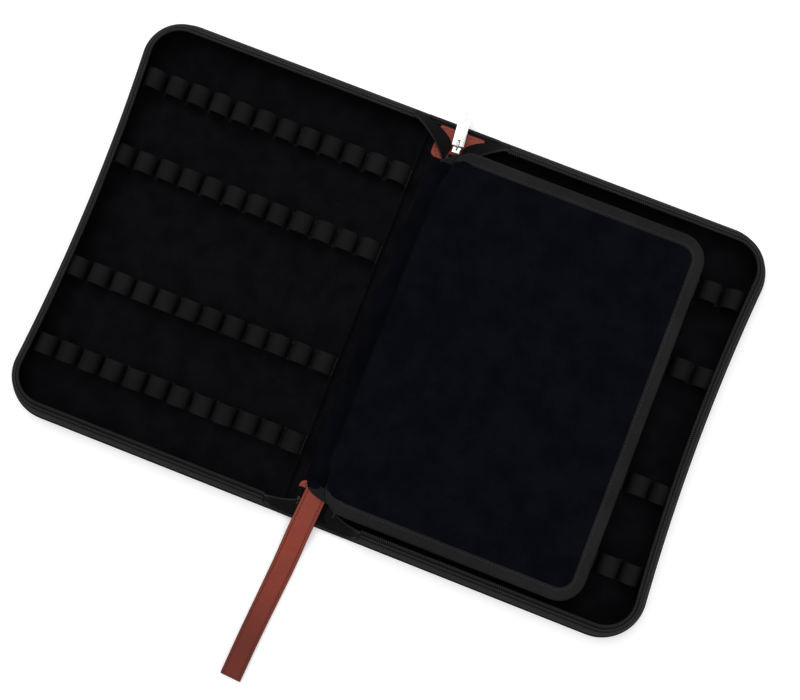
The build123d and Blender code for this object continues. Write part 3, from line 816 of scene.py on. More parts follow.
def nickel_finish(name):
    """Bright nickel plate with faint rubbing and dull specks."""
    tree, shader, place_of, _ = new_finish(name, 0.2, 0.5, metallic=1.0)
    stretched = add(tree, "ShaderNodeMapping", Vector=place_of, Scale=(1.0, 0.12, 1.0)).outputs[0]
    rub = noise(tree, stretched, 2600.0, 5.0)
    tint = mottled(tree, place_of, "nickel", 160.0, 2400.0, 0.9, 1.06)
    dull = maths(tree, "MULTIPLY_ADD", rub, 0.22, 0.10)
    wire(tree, shader, Base_Color=tint["Colour"], Roughness=dull)
    bump(tree, shader, rub, 0.004)


def board_finish(name):
    """Grey pressed board with fibres."""
    tree, shader, place_of, _ = new_finish(name, 0.9, 0.2)
    tint = mottled(tree, place_of, "board", 80.0, 1500.0, 0.7, 1.15)
    wire(tree, shader, Base_Color=tint["Colour"])
    bump(tree, shader, tint["Mask"], 0.05)


def foam_finish(name):
    """Open-celled foam: small round pores, with painted shade in them."""
    tree, shader, place_of, _ = new_finish(name, 0.95, 0.1)
    pores = add(tree, "ShaderNodeTexVoronoi", Vector=place_of, Scale=1400.0).outputs["Distance"]
    # Painted shade: darker towards the middle of each pore
    wire(tree, shader, Base_Color=blended(tree, pores, shade("foam", 0.4), shade("foam", 1.2)))
    bump(tree, shader, pores, 0.15)


def seen_directly(tree):
    """1 for rays from the camera, a mirror or glass, and 0 for the others."""
    rays = tree.nodes.new("ShaderNodeLightPath").outputs
    bright = maths(tree, "MAXIMUM", rays["Is Camera Ray"], rays["Is Glossy Ray"])
    return maths(tree, "MAXIMUM", bright, rays["Is Transmission Ray"])


def floor_finish(name):
    """Pale floor, which glows a little to the camera so that it meets the background."""
    tree, shader, _, _ = new_finish(name, 0.9, 0.1)
    glow = times(tree, seen_directly(tree), FLOOR_GLOW)
    wire(tree, shader, Base_Color=(0.9, 0.9, 0.9, 1), Emission_Color=(1, 1, 1, 1), Emission_Strength=glow)


FINISHES = {
    "brown_leather": leather_finish,
    "blue_velvet": partial(
        napped_finish,
        colour_name="velvet", patches=60.0, flecks=900.0, nap=1800.0, detail=4.0, roughness=0.7, depth=0.12,
    ),
    "suede_cloth": partial(
        napped_finish,
        colour_name="lining", patches=70.0, flecks=1200.0, nap=2200.0, detail=3.0, roughness=0.5, depth=0.08,
    ),
    "wall_cloth": partial(
        ribbed_finish, colour_name="webbing", ribs=1300.0, nicks=1500.0, depth=0.07, cords=250.0
    ),
    "piping_cloth": partial(cloth_finish, colour_name="webbing", threads=1700.0, depth=0.05),
    "binding": partial(cloth_finish, colour_name="binding", threads=1100.0, depth=0.08, specular=0.09),
    "tape": partial(ribbed_finish, colour_name="webbing", ribs=1500.0, nicks=1900.0, depth=0.06, cords=250.0),
    "plain_tape": partial(ribbed_finish, colour_name="webbing", ribs=1500.0, nicks=1900.0, depth=0.06),
    "ribbed_elastic": partial(
        ribbed_finish, colour_name="elastic", ribs=1150.0, nicks=1300.0, depth=0.10, specular=0.06
    ),
    "nylon_coil": coil_finish,
    "black_thread": partial(thread_finish, colour_name="webbing", strength=3.0),
    "leather_thread": partial(thread_finish, colour_name="leather_thread", strength=1.0),
    "nickel_plate": nickel_finish,
    "grey_board": board_finish,
    "black_foam": foam_finish,
    "pale_floor": floor_finish,
}

SLOT_FINISHES = {
    "leather": "brown_leather",
    "velvet": "blue_velvet",
    "lining": "suede_cloth",
    "webbing": "piping_cloth",
    "elastic": "ribbed_elastic",
    "coil": "nylon_coil",
    "nickel": "nickel_plate",
    "stiffener": "grey_board",
    "foam": "black_foam",
}


def finish(name):
    """The material of this name, made the first time that it is asked for."""
    if name not in bpy.data.materials:
        FINISHES[name](name)
    return bpy.data.materials[name]


# Shapes of the trays


def laid_sheet(start, inset, bottom, top, edge_round, sag, seed):
    """Closed flat sheet with the tray's outline.

    Each point of the edge is joined to the line y = 0 by a row: out along the underside, round the
    edge, and back along the top, which is uneven by a slow wave that dies out at the edge.
    """
    points, normals = tray_track(start, 4.0)
    points = points + inset * normals
    inner = np.stack([np.minimum(points[:, 0], size("fore_edge") - 40.0), np.zeros(len(points))], 1)
    steps = np.concatenate([edge_round * np.array(EDGE_STEPS), SHEET_STEPS])
    run = np.linalg.norm(inner - points, axis=1)
    depth = np.minimum(steps[None, :], run[:, None])
    way = (inner - points) / np.maximum(run, 1e-9)[:, None]
    plan = points[:, None] + depth[..., None] * way[:, None]
    middle, half = (bottom + top) / 2, (top - bottom) / 2
    swell = half * rounded(depth, edge_round)
    lift = wave(plan[..., 0], plan[..., 1], seed, sag) * smooth((depth - 4) / 12)
    upper = lifted(plan, middle + swell + lift)
    lower = lifted(plan, middle - swell)
    return closed_at(np.concatenate([lower[:, ::-1], upper[:, 1:]], axis=1), middle)


def wall_circle():
    """Centre (inset, height) and radius of the curve that the zip tape follows up the wall."""
    run = COIL_INSET - WALL_FOOT
    rise = RIM - COIL_RADIUS - TRAY_TOP
    tilt = radians(WALL_TILT)
    radius = (run**2 + rise**2) / (2 * (run * cos(tilt) - rise * sin(tilt)))
    return np.array([WALL_FOOT + radius * cos(tilt), TRAY_TOP - radius * sin(tilt)]), radius


def coil_angle():
    """Angle on the wall's curve at which the coil's middle lies."""
    centre, _ = wall_circle()
    return atan2(RIM - COIL_RADIUS - centre[1], COIL_INSET - centre[0])


def wall_section():
    """Section of the soft wall: a thick strip up the curve, with rounded edges."""
    centre, radius = wall_circle()
    middle = radius - TAPE / 2 - TAPE_GAP - WALL / 2
    first, last = pi - radians(WALL_TILT), coil_angle() + WALL_SHORT / radius
    along = steps_with_ends((first - last) * middle, WALL / 2, 16)
    return band(on_circle(centre, middle, first - along / middle), WALL)


def roll_section():
    """Section of the rolled edge: a rounded oblong, its points paired across the diagonal.

    Its half sizes are multiplied by the cosine and the sine of an angle, each to the power 0.62.
    """
    count = len(wall_section()) // 2
    turn = np.linspace(radians(215), radians(35), count)
    back = np.linspace(radians(35), radians(-145), count)
    angle = np.concatenate([turn, back])
    across, up = (np.sign(f) * np.abs(f) ** 0.62 for f in (np.cos(angle), np.sin(angle)))
    return np.stack([ROLL_WIDTH / 2 * (1 + across), LEATHER + ROLL_HEIGHT / 2 * (1 + up)], 1)


def wall_skin():
    """The wall's section carried round the tray, with a slow wave in and out."""
    points, normals = tray_track(WALL_X)
    section = wall_section()
    grid = carried(points, normals, section)
    ripple = wave(running(points)[:, None], section[None, :, 1] * 2, 11, 0.22)
    free = np.sin(np.linspace(0, pi, len(section) // 2))
    ends = smooth(np.minimum(running(points), running(points)[::-1]) / 12)[:, None]
    ripple = ripple * np.concatenate([free, free[::-1]]) * ends
    grid[..., :2] += ripple[..., None] * normals[:, None]
    return capped(grid)


def wall_end_skin(end):
    """From the rolled edge across the spine up to the wall: one section grows into the other."""
    flat, bend, rise = (0, 18, 10), (18.5, 25, 9), (25.8, WALL_X + 0.6, 14)
    x = np.concatenate([np.linspace(*stretch) for stretch in (flat, bend, rise)])
    grown = smooth((x - 25.5) / (WALL_X - 25.5))[:, None, None]
    sections = (1 - grown) * roll_section() + grown * wall_section()
    points = np.stack([x, np.full_like(x, -size("half_height"))], 1)
    grid = carried(points, np.broadcast_to(np.array([0.0, 1.0]), points.shape), sections)
    grid[..., 1] *= -end
    return capped(grid)


def tape_line(share):
    """Points (inset, height) on the outer face of the tape: 0 at its sewn edge, 1 at the coil."""
    centre, radius = wall_circle()
    last = coil_angle() + TAPE_SHORT / radius
    first = last + TAPE_SPAN / radius
    return on_circle(centre, radius + TAPE / 2, first + share * (last - first))


def tape_skins():
    """The zip's tape round the tray, with a row of stitches near each of its edges."""
    points, normals = tray_track(WALL_X)
    centre, radius = wall_circle()
    last = coil_angle() + TAPE_SHORT / radius
    along = steps_with_ends(TAPE_SPAN, TAPE / 2, 8)
    section = band(on_circle(centre, radius, last + (TAPE_SPAN - along) / radius), TAPE)
    skins = [skin(capped(carried(points, normals, section)))]
    spots, lean, heading = spaced(points, normals, size("stitch_pitch"), 2.0)
    for share in TAPE_SEAMS:
        inset, height = tape_line(share)
        angle = atan2(height - centre[1], inset - centre[0])
        up = lifted(cos(angle) * lean, sin(angle))
        skins.append(seam(TAPE_STITCH, spots + inset * lean, height, heading, up))
    return skins


def helix(centres, inward, up, pitch, radius, thickness, sides=5, steps=9):
    """A coil round a line: the wire's middle turns once in each pitch at this radius."""
    length = running(centres)
    turns = round(length[-1] / pitch)
    at = np.linspace(0, length[-1], turns * steps)
    middle, inward, up = (read_off(values, length, at) for values in (centres, inward, up))
    phase = (2 * pi * turns * at / length[-1])[:, None]
    outward = np.cos(phase) * unit(inward) + np.sin(phase) * up
    line = middle + radius * outward
    side = np.cross(heading_of(line), outward)
    angle = ((np.arange(sides) + 0.5) * 2 * pi / sides)[None, :, None]
    return line[:, None] + thickness * (np.cos(angle) * outward[:, None] + np.sin(angle) * side[:, None])


def coil_skins():
    """Half of the zip: a nylon coil round a cord, along the tray's rim."""
    points, normals = tray_track(WALL_X)
    height = RIM - COIL_RADIUS
    inward = lifted(normals, 0.0)
    centres = lifted(points + COIL_INSET * normals, height)
    core = carried(points, normals, round_band(COIL_CORE, 6) + np.array([COIL_INSET, height]))
    ups = np.broadcast_to(UP, inward.shape)
    turns = helix(centres, inward, ups, size("tooth_pitch"), COIL_RADIUS - COIL_WIRE, COIL_WIRE)
    return [skin(capped(turns)), skin(capped(core), finish=1)]


def piping_skin():
    """Cloth-covered cord at the wall's foot."""
    section = round_band(PIPING_RADIUS, 14) + np.array([PIPING_RADIUS, LEATHER + PIPING_RADIUS])
    return capped(carried(*tray_track(PANEL_START), section))


def hermite(start, start_way, end, end_way, count):
    """Curve from one point to another that leaves and arrives in the given directions."""
    t = np.linspace(0, 1, count)[:, None]
    return (
        (2 * t**3 - 3 * t**2 + 1) * start
        + (t**3 - 2 * t**2 + t) * start_way
        + (3 * t**2 - 2 * t**3) * end
        + (t**3 - t**2) * end_way
    )


def arm_skins(end, outer_end, inner_end, leaves):
    """Free zip tape from the wall's end, down and across to the spine's end, with its coil.

    Its two edges are cubic curves from the wall to their own ends, and leave it in the given
    direction. The strip lies between them.
    """
    edges = []
    for share, arrives_at in ((0.0, outer_end), (1.0, inner_end)):
        inset, height = tape_line(share)
        at_wall = np.array([WALL_X - 0.3, size("half_height") - inset, height])
        edges.append(hermite(at_wall, np.array(leaves), np.array(arrives_at), np.array(ARM_ARRIVES), 26))
    outer, inner = edges
    heading = np.gradient((outer + inner) / 2, axis=0)
    width = np.linalg.norm(inner - outer, axis=1, keepdims=True)
    across = (inner - outer) / width
    up = unit(np.cross(across, heading))
    up *= np.sign(up[-1, 2])
    thin = 0.08
    strip = flat_band(1.0, thin, 7)
    flat = strip[:, 0][None, :, None] * width[:, None] * across[:, None]
    thick = strip[:, 1][None, :, None] / thin * TAPE * up[:, None]
    grid = (outer + inner)[:, None] / 2 + flat + thick
    coil_line = inner + 0.3 * across + 0.35 * up
    turns = helix(coil_line, across, up, size("tooth_pitch"), ARM_COIL_RADIUS, ARM_COIL_WIRE)
    turned = np.array([1, end, 1])
    return [skin(capped(grid) * turned), skin(capped(turns) * turned, finish=1)]


def fold_lining_skin():
    """Cloth from the middle of the spine, down into the fold and up over the edge of the tray's."""
    section = band(np.array(FOLD_PROFILE), FOLD_CLOTH)
    y = np.linspace(-FOLD_CLOTH_HALF, FOLD_CLOTH_HALF, 90)[:, None]
    lift = wave(section[None, :, 0], y, 5, 0.10)
    return capped(stacked(section[None, :, 0], y, section[None, :, 1] + lift))


def loop_line(draw):
    """Middle line (x, z) of one elastic strip over its twelve loops, each a little uneven.

    Each loop is a flat run, a fillet, an upright, a half circle and the same back. Its lean moves a
    point sideways in proportion to its height, and its drop lowers it in the same proportion.
    """
    flat = TRAY_TOP + ELASTIC / 2
    quarter = np.linspace(-pi / 2, 0, 5)
    foot_x = -LOOP_RADIUS - LOOP_FILLET + LOOP_FILLET * np.cos(quarter)
    foot = np.stack([foot_x, flat + LOOP_FILLET * (1 + np.sin(quarter))], 1)
    upright = np.stack([np.full(3, -LOOP_RADIUS), np.linspace(foot[-1, 1], ARCH_HEIGHT, 5)[1:-1]], 1)
    arch = on_circle(np.array([0, ARCH_HEIGHT]), LOOP_RADIUS, np.linspace(pi, 0, 15))
    rise = np.concatenate([np.array([[-LOOP_PITCH / 2, flat]]), foot, upright])
    one = np.concatenate([rise, arch, rise[::-1][:-1] * np.array([-1, 1])])
    lean = draw.uniform(-0.05, 0.05, COLUMNS)
    drop = draw.uniform(0.0, 0.04, COLUMNS)
    middles = FIRST_COLUMN + LOOP_PITCH * np.arange(COLUMNS)
    height = one[None, :, 1] - flat
    x = middles[:, None] + one[None, :, 0] + lean[:, None] * height
    z = flat + height * (1 - drop[:, None])
    line = np.stack([x, z], -1).reshape(-1, 2)
    return np.concatenate([[[middles[0] - LOOP_END, flat]], line[1:], [[middles[-1] + LOOP_END, flat]]])


def loop_skins(number, y):
    """One elastic strip: a thin ribbed section along its line, cupped a little over each arch."""
    draw = np.random.default_rng(40 + number)
    line = loop_line(draw)
    normal = to_left(heading_of(line))
    width = size("elastic_width")
    section = flat_band(width, ELASTIC, 7)
    rise = np.clip((line[:, 1] - TRAY_TOP - 1) / (LOOP_RADIUS + ARCH_HEIGHT - TRAY_TOP), 0, 1)
    cup = -0.28 * rise[:, None] * (2 * section[None, :, 0] / width) ** 2
    skew = draw.uniform(-0.5, 0.5, COLUMNS)
    column = np.clip(np.round((line[:, 0] - FIRST_COLUMN) / LOOP_PITCH).astype(int), 0, COLUMNS - 1)
    up = section[None, :, 1] + cup
    x, z = (line[:, None, k] + up * normal[:, None, k] for k in (0, 1))
    grid = stacked(x, y + section[None, :, 0] + (skew[column] * rise)[:, None], z)
    seams = FIRST_COLUMN + LOOP_PITCH * (np.arange(COLUMNS + 1) - 0.5)
    seams[[0, -1]] += np.array([0.9, -0.9])
    places = y + np.linspace(-width / 2 + 1.8, width / 2 - 1.8, 5)
    spots = np.stack([a.ravel() for a in np.meshgrid(seams, places)], 1)
    heading = np.broadcast_to(np.array([0.0, 1.0]), spots.shape)
    return [skin(capped(grid)), seam(LOOP_STITCH, spots, TRAY_TOP + ELASTIC + 0.02, heading)]


# Shapes of the flap


def root_corner(y):
    """Radius of the root corner on the same side as y."""
    return np.where(y > 0, FLAP_UPPER_ROOT, FLAP_LOWER_ROOT)


def flap_track(spacing):
    """The flap's bound edge, from the start of its lower root corner round to the end of the upper one."""
    low, high = FLAP_LOWER_ROOT, FLAP_UPPER_ROOT
    corner_x, corner_y = FLAP_RIGHT - FLAP_CORNER, FLAP_HALF - FLAP_CORNER
    return track(
        [
            ("arc", (FLAP_LEFT + low, low - FLAP_HALF), low, pi + BINDING_STARTS, 1.5 * pi),
            ("line", (FLAP_LEFT + low, -FLAP_HALF), (corner_x, -FLAP_HALF)),
            ("arc", (corner_x, -corner_y), FLAP_CORNER, -pi / 2, 0),
            ("line", (FLAP_RIGHT, -corner_y), (FLAP_RIGHT, corner_y)),
            ("arc", (corner_x, corner_y), FLAP_CORNER, 0, pi / 2),
            ("line", (corner_x, FLAP_HALF), (FLAP_LEFT + high, FLAP_HALF)),
            ("arc", (FLAP_LEFT + high, FLAP_HALF - high), high, pi / 2, pi - BINDING_STARTS),
        ],
        spacing,
    )


def flap_depth(x, y):
    """Distance inside the flap's bound edge. Its unbound root doesn't count."""
    away = np.abs(y)
    depth = np.minimum(FLAP_RIGHT - x, FLAP_HALF - away)
    corner_x, corner_y = FLAP_RIGHT - FLAP_CORNER, FLAP_HALF - FLAP_CORNER
    at_corner = (x > corner_x) & (away > corner_y)
    depth = np.where(at_corner, FLAP_CORNER - np.hypot(x - corner_x, away - corner_y), depth)
    radius = root_corner(y)
    root_x, root_y = FLAP_LEFT + radius, FLAP_HALF - radius
    at_root = (x < root_x) & (away > root_y)
    return np.where(at_root, radius - np.hypot(x - root_x, away - root_y), depth)


def flap_left(y):
    """The flap's left edge at a height y: its root, rounded about the pivot, then the root corner."""
    away = np.abs(y)
    radius = root_corner(y)
    root_x, root_y = FLAP_LEFT + radius, FLAP_HALF - radius
    corner = root_x - np.sqrt(np.maximum(0, radius**2 - np.maximum(away - root_y, 0) ** 2))
    return corner - (PAD_ROOT_RADIUS + FLAP_LEFT) * smooth((root_y - 3 - away) / 14)


def flap_pad_grid():
    """Both faces of the flap as one crowned pillow: rows across, each from the root to the free edge.

    The half thickness is a quarter circle at the edge, level under the binding, then rises to the
    crown over 12 mm, less small puckers at the binding's stitches. At the root it is a half
    circle about the pivot.
    """
    reach = FLAP_HALF - PAD_INSET
    near = np.array(PAD_ROWS)
    rows = np.concatenate([-reach + near, np.linspace(-reach + 32, reach - 32, 46), (reach - near)[::-1]])
    left = flap_left(rows)
    past = np.maximum(np.abs(rows) - (FLAP_HALF - FLAP_CORNER), 0)
    right = FLAP_RIGHT - FLAP_CORNER + np.sqrt(np.maximum(0, FLAP_CORNER**2 - past**2)) - PAD_INSET
    first = np.array(PAD_ROOT_ROWS) / 60
    last = 1 - np.array((*PAD_ROWS, 32))[::-1] / 200
    share = np.concatenate([first * 0.3, np.linspace(0.15, 0.82, 34), last])
    x = left[:, None] + share[None, :] * (right - left)[:, None]
    y = np.broadcast_to(rows[:, None], x.shape)
    depth = flap_depth(x, y) - PAD_INSET
    inside = depth + PAD_INSET - BINDING_WIDTH
    edge = PAD_UNDER_BINDING * rounded(depth, PAD_UNDER_BINDING)
    swell = (BINDING_HALF - PAD_UNDER_BINDING) * smooth((inside + 0.6) / 1.2)
    crown = (PAD_CROWN - BINDING_HALF) * smooth(inside / 12)
    along_edge = np.where(np.abs(y) > np.abs(x - 100) * 1.3, x, y)
    pucker = 0.12 * np.sin(2 * pi * along_edge / 7.0) * smooth(inside / 1.5) * (1 - smooth((inside - 2) / 7))
    half = edge + swell + crown + pucker
    at_root = np.sqrt(np.maximum(0, PAD_ROOT_RADIUS**2 - np.minimum(x, 0.0) ** 2))
    bound = smooth((np.abs(y) - (FLAP_HALF - root_corner(y) - 6)) / 6)
    free_half = at_root + np.maximum(half - PAD_ROOT_RADIUS, 0) * smooth(x / 12)
    free_half = np.minimum(free_half, np.maximum(half, at_root))
    half = np.where(x < 16, (1 - bound) * free_half + bound * half, half)
    at_left = np.minimum(x - left[:, None], PAD_ROOT_RADIUS)
    round_left = np.sqrt(np.maximum(0, PAD_ROOT_RADIUS**2 - (PAD_ROOT_RADIUS - at_left) ** 2))
    return x, y, np.where(at_left < PAD_ROOT_RADIUS, np.minimum(half, round_left), half)


def flap_pad_skin():
    """The pad's upper and lower faces joined round their edge."""
    x, y, half = flap_pad_grid()
    uneven = wave(x, y, 3, 0.16) * smooth((flap_depth(x, y) - 12) / 10) * smooth((x - 8) / 14)
    upper = stacked(x, y, FLAP_MIDDLE + half + uneven)
    lower = stacked(x, y, FLAP_MIDDLE - half + np.minimum(uneven * 0.5, 0.05))
    grid = np.concatenate([upper, lower[:, ::-1]], axis=1)
    return closed_at(grid, FLAP_MIDDLE) - np.array([0.0, FLAP_SAGS, 0.0])


def flap_board_skin():
    """Board inside the flap: its outline drawn in from the bound edge and from the root."""
    radii = [r - BOARD_INSET for r in (FLAP_CORNER, FLAP_UPPER_ROOT, FLAP_LOWER_ROOT, FLAP_CORNER)]
    reach = FLAP_HALF - BOARD_INSET
    half_x = (FLAP_RIGHT - FLAP_LEFT) / 2 - BOARD_INSET
    outline = rounded_outline(half_x, -reach - FLAP_SAGS, reach - FLAP_SAGS, radii)
    outline = outline + np.array([(FLAP_LEFT + FLAP_RIGHT) / 2, 0.0])
    return pillow_skin(outline, FLAP_MIDDLE - FLAP_BOARD / 2, FLAP_MIDDLE + FLAP_BOARD / 2, 0.3, 0.0, 35)


def binding_skins():
    """Cloth folded over the flap's edge: a strip along a U, with a row of stitches on both faces.

    It rises out of the pad at the root and grows to its full width over the first 24 mm.
    """
    points, normals = flap_track(STEP)
    points = points - np.array([0.0, FLAP_SAGS])
    middle = BINDING_HALF - BINDING / 2
    flat = steps_with_ends(BINDING_WIDTH - middle, BINDING / 2, 6)[:-3]
    lower = np.stack([BINDING_WIDTH - flat, np.full(len(flat), -middle)], 1)
    bend = on_circle(np.array([middle, 0.0]), middle, np.linspace(-pi / 2, -1.5 * pi, 9))
    line = np.concatenate([lower, bend, (lower * np.array([1, -1]))[::-1]])
    keep = np.append(True, np.linalg.norm(np.diff(line, axis=0), axis=1) > 1e-6)
    section = band(line[keep], BINDING)
    length = running(points)
    grown = smooth(np.minimum(length, length[-1] - length) / BINDING_GROWS)[:, None]
    inset = section[:, 0] * (0.15 + 0.85 * grown) + 1.0 * (1 - np.minimum(grown * 2.5, 1))
    height = section[:, 1] * (0.55 + 0.45 * np.minimum(grown * 2, 1)) + FLAP_MIDDLE
    grid = carried(points, normals, np.stack([inset, height], -1))
    lift = wave(running(points)[:, None] * 3, section[None, :, 0] * 3, 21, 0.10)
    grid[..., 2] += grown * lift * smooth(section[None, :, 0] / 5) * np.sign(section[None, :, 1].round(6))
    skins = [skin(capped(grid))]
    spots, lean, heading = spaced(points, normals, size("stitch_pitch"), BINDING_GROWS)
    spots = spots + (BINDING_WIDTH - STITCH_INSET) * lean
    for side in (1, -1):
        height = FLAP_MIDDLE + side * (BINDING_HALF + 0.02)
        skins.append(seam(BINDING_STITCH, spots, height, heading, side * UP))
    return skins


def web_skin():
    """Cloth web under the flap: a pleat that stands on two sewn flanges and closes at its head."""
    right = np.array(WEB_PROFILE)
    left = right[::-1] * np.array([-1, 1])
    section = band(np.concatenate([right, left[1:]]), WEB)
    y = np.linspace(FLAP_LOWER_ROOT - FLAP_HALF, FLAP_HALF - FLAP_LOWER_ROOT, 64)[:, None]
    height = section[None, :, 1]
    sway = wave(y, height, 9, 0.25) * smooth((height - 5) / 6) * smooth((20.5 - height) / 5)
    return capped(stacked(section[None, :, 0] + sway, y, height))


def rounded_outline(half_x, low_y, high_y, radii, count=7):
    """Outline of an oblong about x = 0 with its own radius at each corner, going anticlockwise."""
    corners = [(half_x, high_y, 0), (-half_x, high_y, 1), (-half_x, low_y, 2), (half_x, low_y, 3)]
    points = []
    for (x, y, quarter), radius in zip(corners, radii):
        centre = np.array([x - np.sign(x) * radius, y - (radius if y == high_y else -radius)])
        angle = quarter * pi / 2 + np.linspace(0, pi / 2, count)
        points.append(on_circle(centre, radius, angle))
    closed = np.concatenate([*points, points[0][:1]])
    length = running(closed)
    return read_off(closed, length, np.linspace(0, length[-1], max(64, int(length[-1] / 2)), endpoint=False))


def pillow_skin(outline, bottom, top, edge_round, crown, seed):
    """Closed flat pad: rings of its outline drawn together to its middle, over and under."""
    centre = outline.mean(axis=0)
    reach = np.linalg.norm(outline - centre, axis=1)
    steps = np.concatenate([edge_round * np.array(EDGE_STEPS), PILLOW_STEPS])
    depth = np.minimum(steps, reach.max())
    scale = np.clip(1 - depth[:, None] / reach[None, :], 0, 1)
    plan = centre + scale[..., None] * (outline - centre)
    rounding = rounded(depth, edge_round)[:, None]
    middle, half = (bottom + top) / 2, (top - bottom) / 2
    swell = crown * smooth(depth / 5)[:, None] + wave(plan[..., 0], plan[..., 1], seed, 0.05)
    upper = lifted(plan, middle + half * rounding + swell * rounding)
    lower = lifted(plan, middle - half * rounding)
    return np.concatenate([lower[::-1], upper[1:]])


def patch_skins(end):
    """Leather patch inside one end of the spine, with a row of stitches inside its edge."""
    outer = size("half_height") - ROLL_WIDTH + 0.3
    outline = rounded_outline(PATCH_HALF, PATCH_INNER_Y, outer, (0.6, 0.6, 4.0, 4.0))
    grid = pillow_skin(outline, SPINE_TOP - 0.1, PATCH_TOP - 0.15, 0.6, 0.12, 30)
    line = rounded_outline(15.6, PATCH_INNER_Y + 2.4, outer - 2.0, (1.5, 1.5, 2.6, 2.6))
    closed = np.concatenate([line, line[:1]])
    spots, _, heading = spaced(closed, np.ones_like(closed), PATCH_PITCH)
    turned = np.array([1.0, end])
    worn = np.clip(1 - np.abs(np.arange(len(grid)) - len(grid) // 2) / 3.0, 0, 1)[:, None]
    return [
        skin(grid * np.array([1.0, end, 1.0]), edge=np.broadcast_to(worn, grid.shape[:2])),
        seam(PATCH_STITCH, spots * turned, PATCH_TOP - 0.02, heading * turned),
    ]


def shade_sheet_skin():
    """Black suede sheet laid on the lower patch as painted shade, on both sides of the strap; a margin of
    leather shows beyond it.
    """
    outline = rounded_outline(18.3, -SHADE_SHEET[1], -SHADE_SHEET[0], (2.0, 2.0, 0.6, 0.6))
    return pillow_skin(outline, PATCH_TOP - 0.3, PATCH_TOP + 0.14, 0.2, 0.0, 34)


# The strap


def strap_line():
    """Middle line (out, height) of the leather: the upper layer, round the far fold and back."""
    length = size("strap_length")
    layer = (STRAP_GAP + LEATHER) / 2
    stretches = (-STRAP_INSIDE, -4, 12), (-3, STRAP_RUN + 2, 24), (STRAP_RUN + 5, length - 3.0, 34)
    out = np.concatenate([np.linspace(*stretch) for stretch in stretches])
    middle = STRAP_ROOT_Z - (STRAP_ROOT_Z - STRAP_REST_Z) * smooth(out / STRAP_RUN)
    loose = 0.55 * smooth((out - 60) / 40)
    upper = np.stack([out, middle + layer + loose], 1)
    lower = np.stack([out, middle - layer], 1)
    radius = (upper[-1, 1] - lower[-1, 1]) / 2
    centre = np.array([length - LEATHER / 2 - radius, (upper[-1, 1] + lower[-1, 1]) / 2])
    fold = on_circle(centre, radius, np.linspace(pi / 2, -pi / 2, 11))
    return np.concatenate([upper, fold, lower[::-1]])


def strap_slim(out):
    """Share of its full width that the strap keeps, down to its folded end."""
    return 1 - STRAP_TAPER * smooth(out / size("strap_length"))


def strap_drift(out):
    """Slow wander of the strap to the side, from its flexing line on."""
    return 0.25 * np.sin(out / 19.0) * smooth((out - 5) / 30)


def strap_frame(out, across, height):
    """Points of the strap's own plane set in the case's place."""
    along = np.array([-sin(STRAP_TURN), -cos(STRAP_TURN)])
    side = np.array([cos(STRAP_TURN), -sin(STRAP_TURN)])
    return lifted(np.array(STRAP_ROOT) + out[..., None] * along + across[..., None] * side, height)


def strap_skins():
    """Doubled leather ribbon: pressed seams along both edges, stitches in them and dark edges."""
    width = size("strap_width")
    line = strap_line()
    normal = to_left(heading_of(line))
    seam_at = width / 2 - STRAP_SEAM
    across = np.array([0, 0.1, 0.35, 0.7, 1.2, 1.8, 2.1, 2.3, 2.5, 2.9, 3.6, 5.2]) - width / 2
    across = np.concatenate([across, [-1.2, 1.2], -across[::-1]])
    strip = band(np.stack([across, np.zeros_like(across)], 1), LEATHER)
    pressed = SEAM_DEPTH * np.exp(-(((np.abs(strip[:, 0]) - seam_at) / 0.45) ** 2))
    strip[:, 1] -= np.sign(strip[:, 1]) * pressed
    out = line[:, None, 0] + strip[None, :, 1] * normal[:, None, 0]
    height = line[:, None, 1] + strip[None, :, 1] * normal[:, None, 1]
    shift = strip[None, :, 0] * strap_slim(line[:, None, 0]) + strap_drift(line[:, None, 0])
    worn = smooth((np.abs(strip[:, 0]) - width / 2 + 0.55) / 0.4) + pressed / SEAM_DEPTH * 0.55
    grid = capped(strap_frame(out, shift, height))
    parts = [skin(grid, edge=np.broadcast_to(worn, grid.shape[:2]))]
    spots, lean, way = spaced(line, normal, STRAP_PITCH, 3.0)
    depth = np.where(lean[:, 1] < 0, 0.28, 0.1)[:, None]
    raised = spots + (LEATHER / 2 - depth) * lean
    for side in (1, -1):
        shift = side * seam_at * strap_slim(spots[:, 0]) + strap_drift(spots[:, 0])
        centres = strap_frame(raised[:, 0], shift, raised[:, 1])
        ahead, above = (
            strap_frame(raised[:, 0] + step[:, 0], shift, raised[:, 1] + step[:, 1]) - centres
            for step in (way, lean)
        )
        parts.append(copies(stitch(*STRAP_STITCH), centres, ahead, above, finish=1))
    return parts


def tail_skin():
    """Sewn ends of the two tapes on the patch behind the slider."""
    outline = rounded_outline(4.5, 127.3, 137.3, (0.5, 0.5, 1.0, 1.0))
    return pillow_skin(outline, PATCH_TOP - 1.0, PATCH_TOP + 0.9, 0.45, 0.0, 31)


def bezier(corners, t):
    """Cubic curve of four control points at the given shares."""
    t = t[:, None]
    a, b, c, d = (np.array(corner, float) for corner in corners)
    return (1 - t) ** 3 * a + 3 * (1 - t) ** 2 * t * b + 3 * (1 - t) * t**2 * c + t**3 * d


def apron_height(x, y):
    """Height of the apron's middle: it lies on the lining, and climbs at its ends.

    At the upper end it passes over the sewn tape, at the lower end over the strap's root. In
    between it dives beside the flap's web.
    """
    over_tape = smooth((y - 119) / 7) * (2.6 - 0.9 * smooth((-x - 10.5) / 3))
    over_strap = smooth((-y - 125.5) / 7) * 4.5 * (1 - 0.55 * smooth((-x - 11.5) / 3.5))
    dive = 0.5 * smooth((x + 4.5) / 2) * (1 - smooth((np.abs(y) - 112) / 8))
    return APRON_LEVEL + over_tape + over_strap - dive


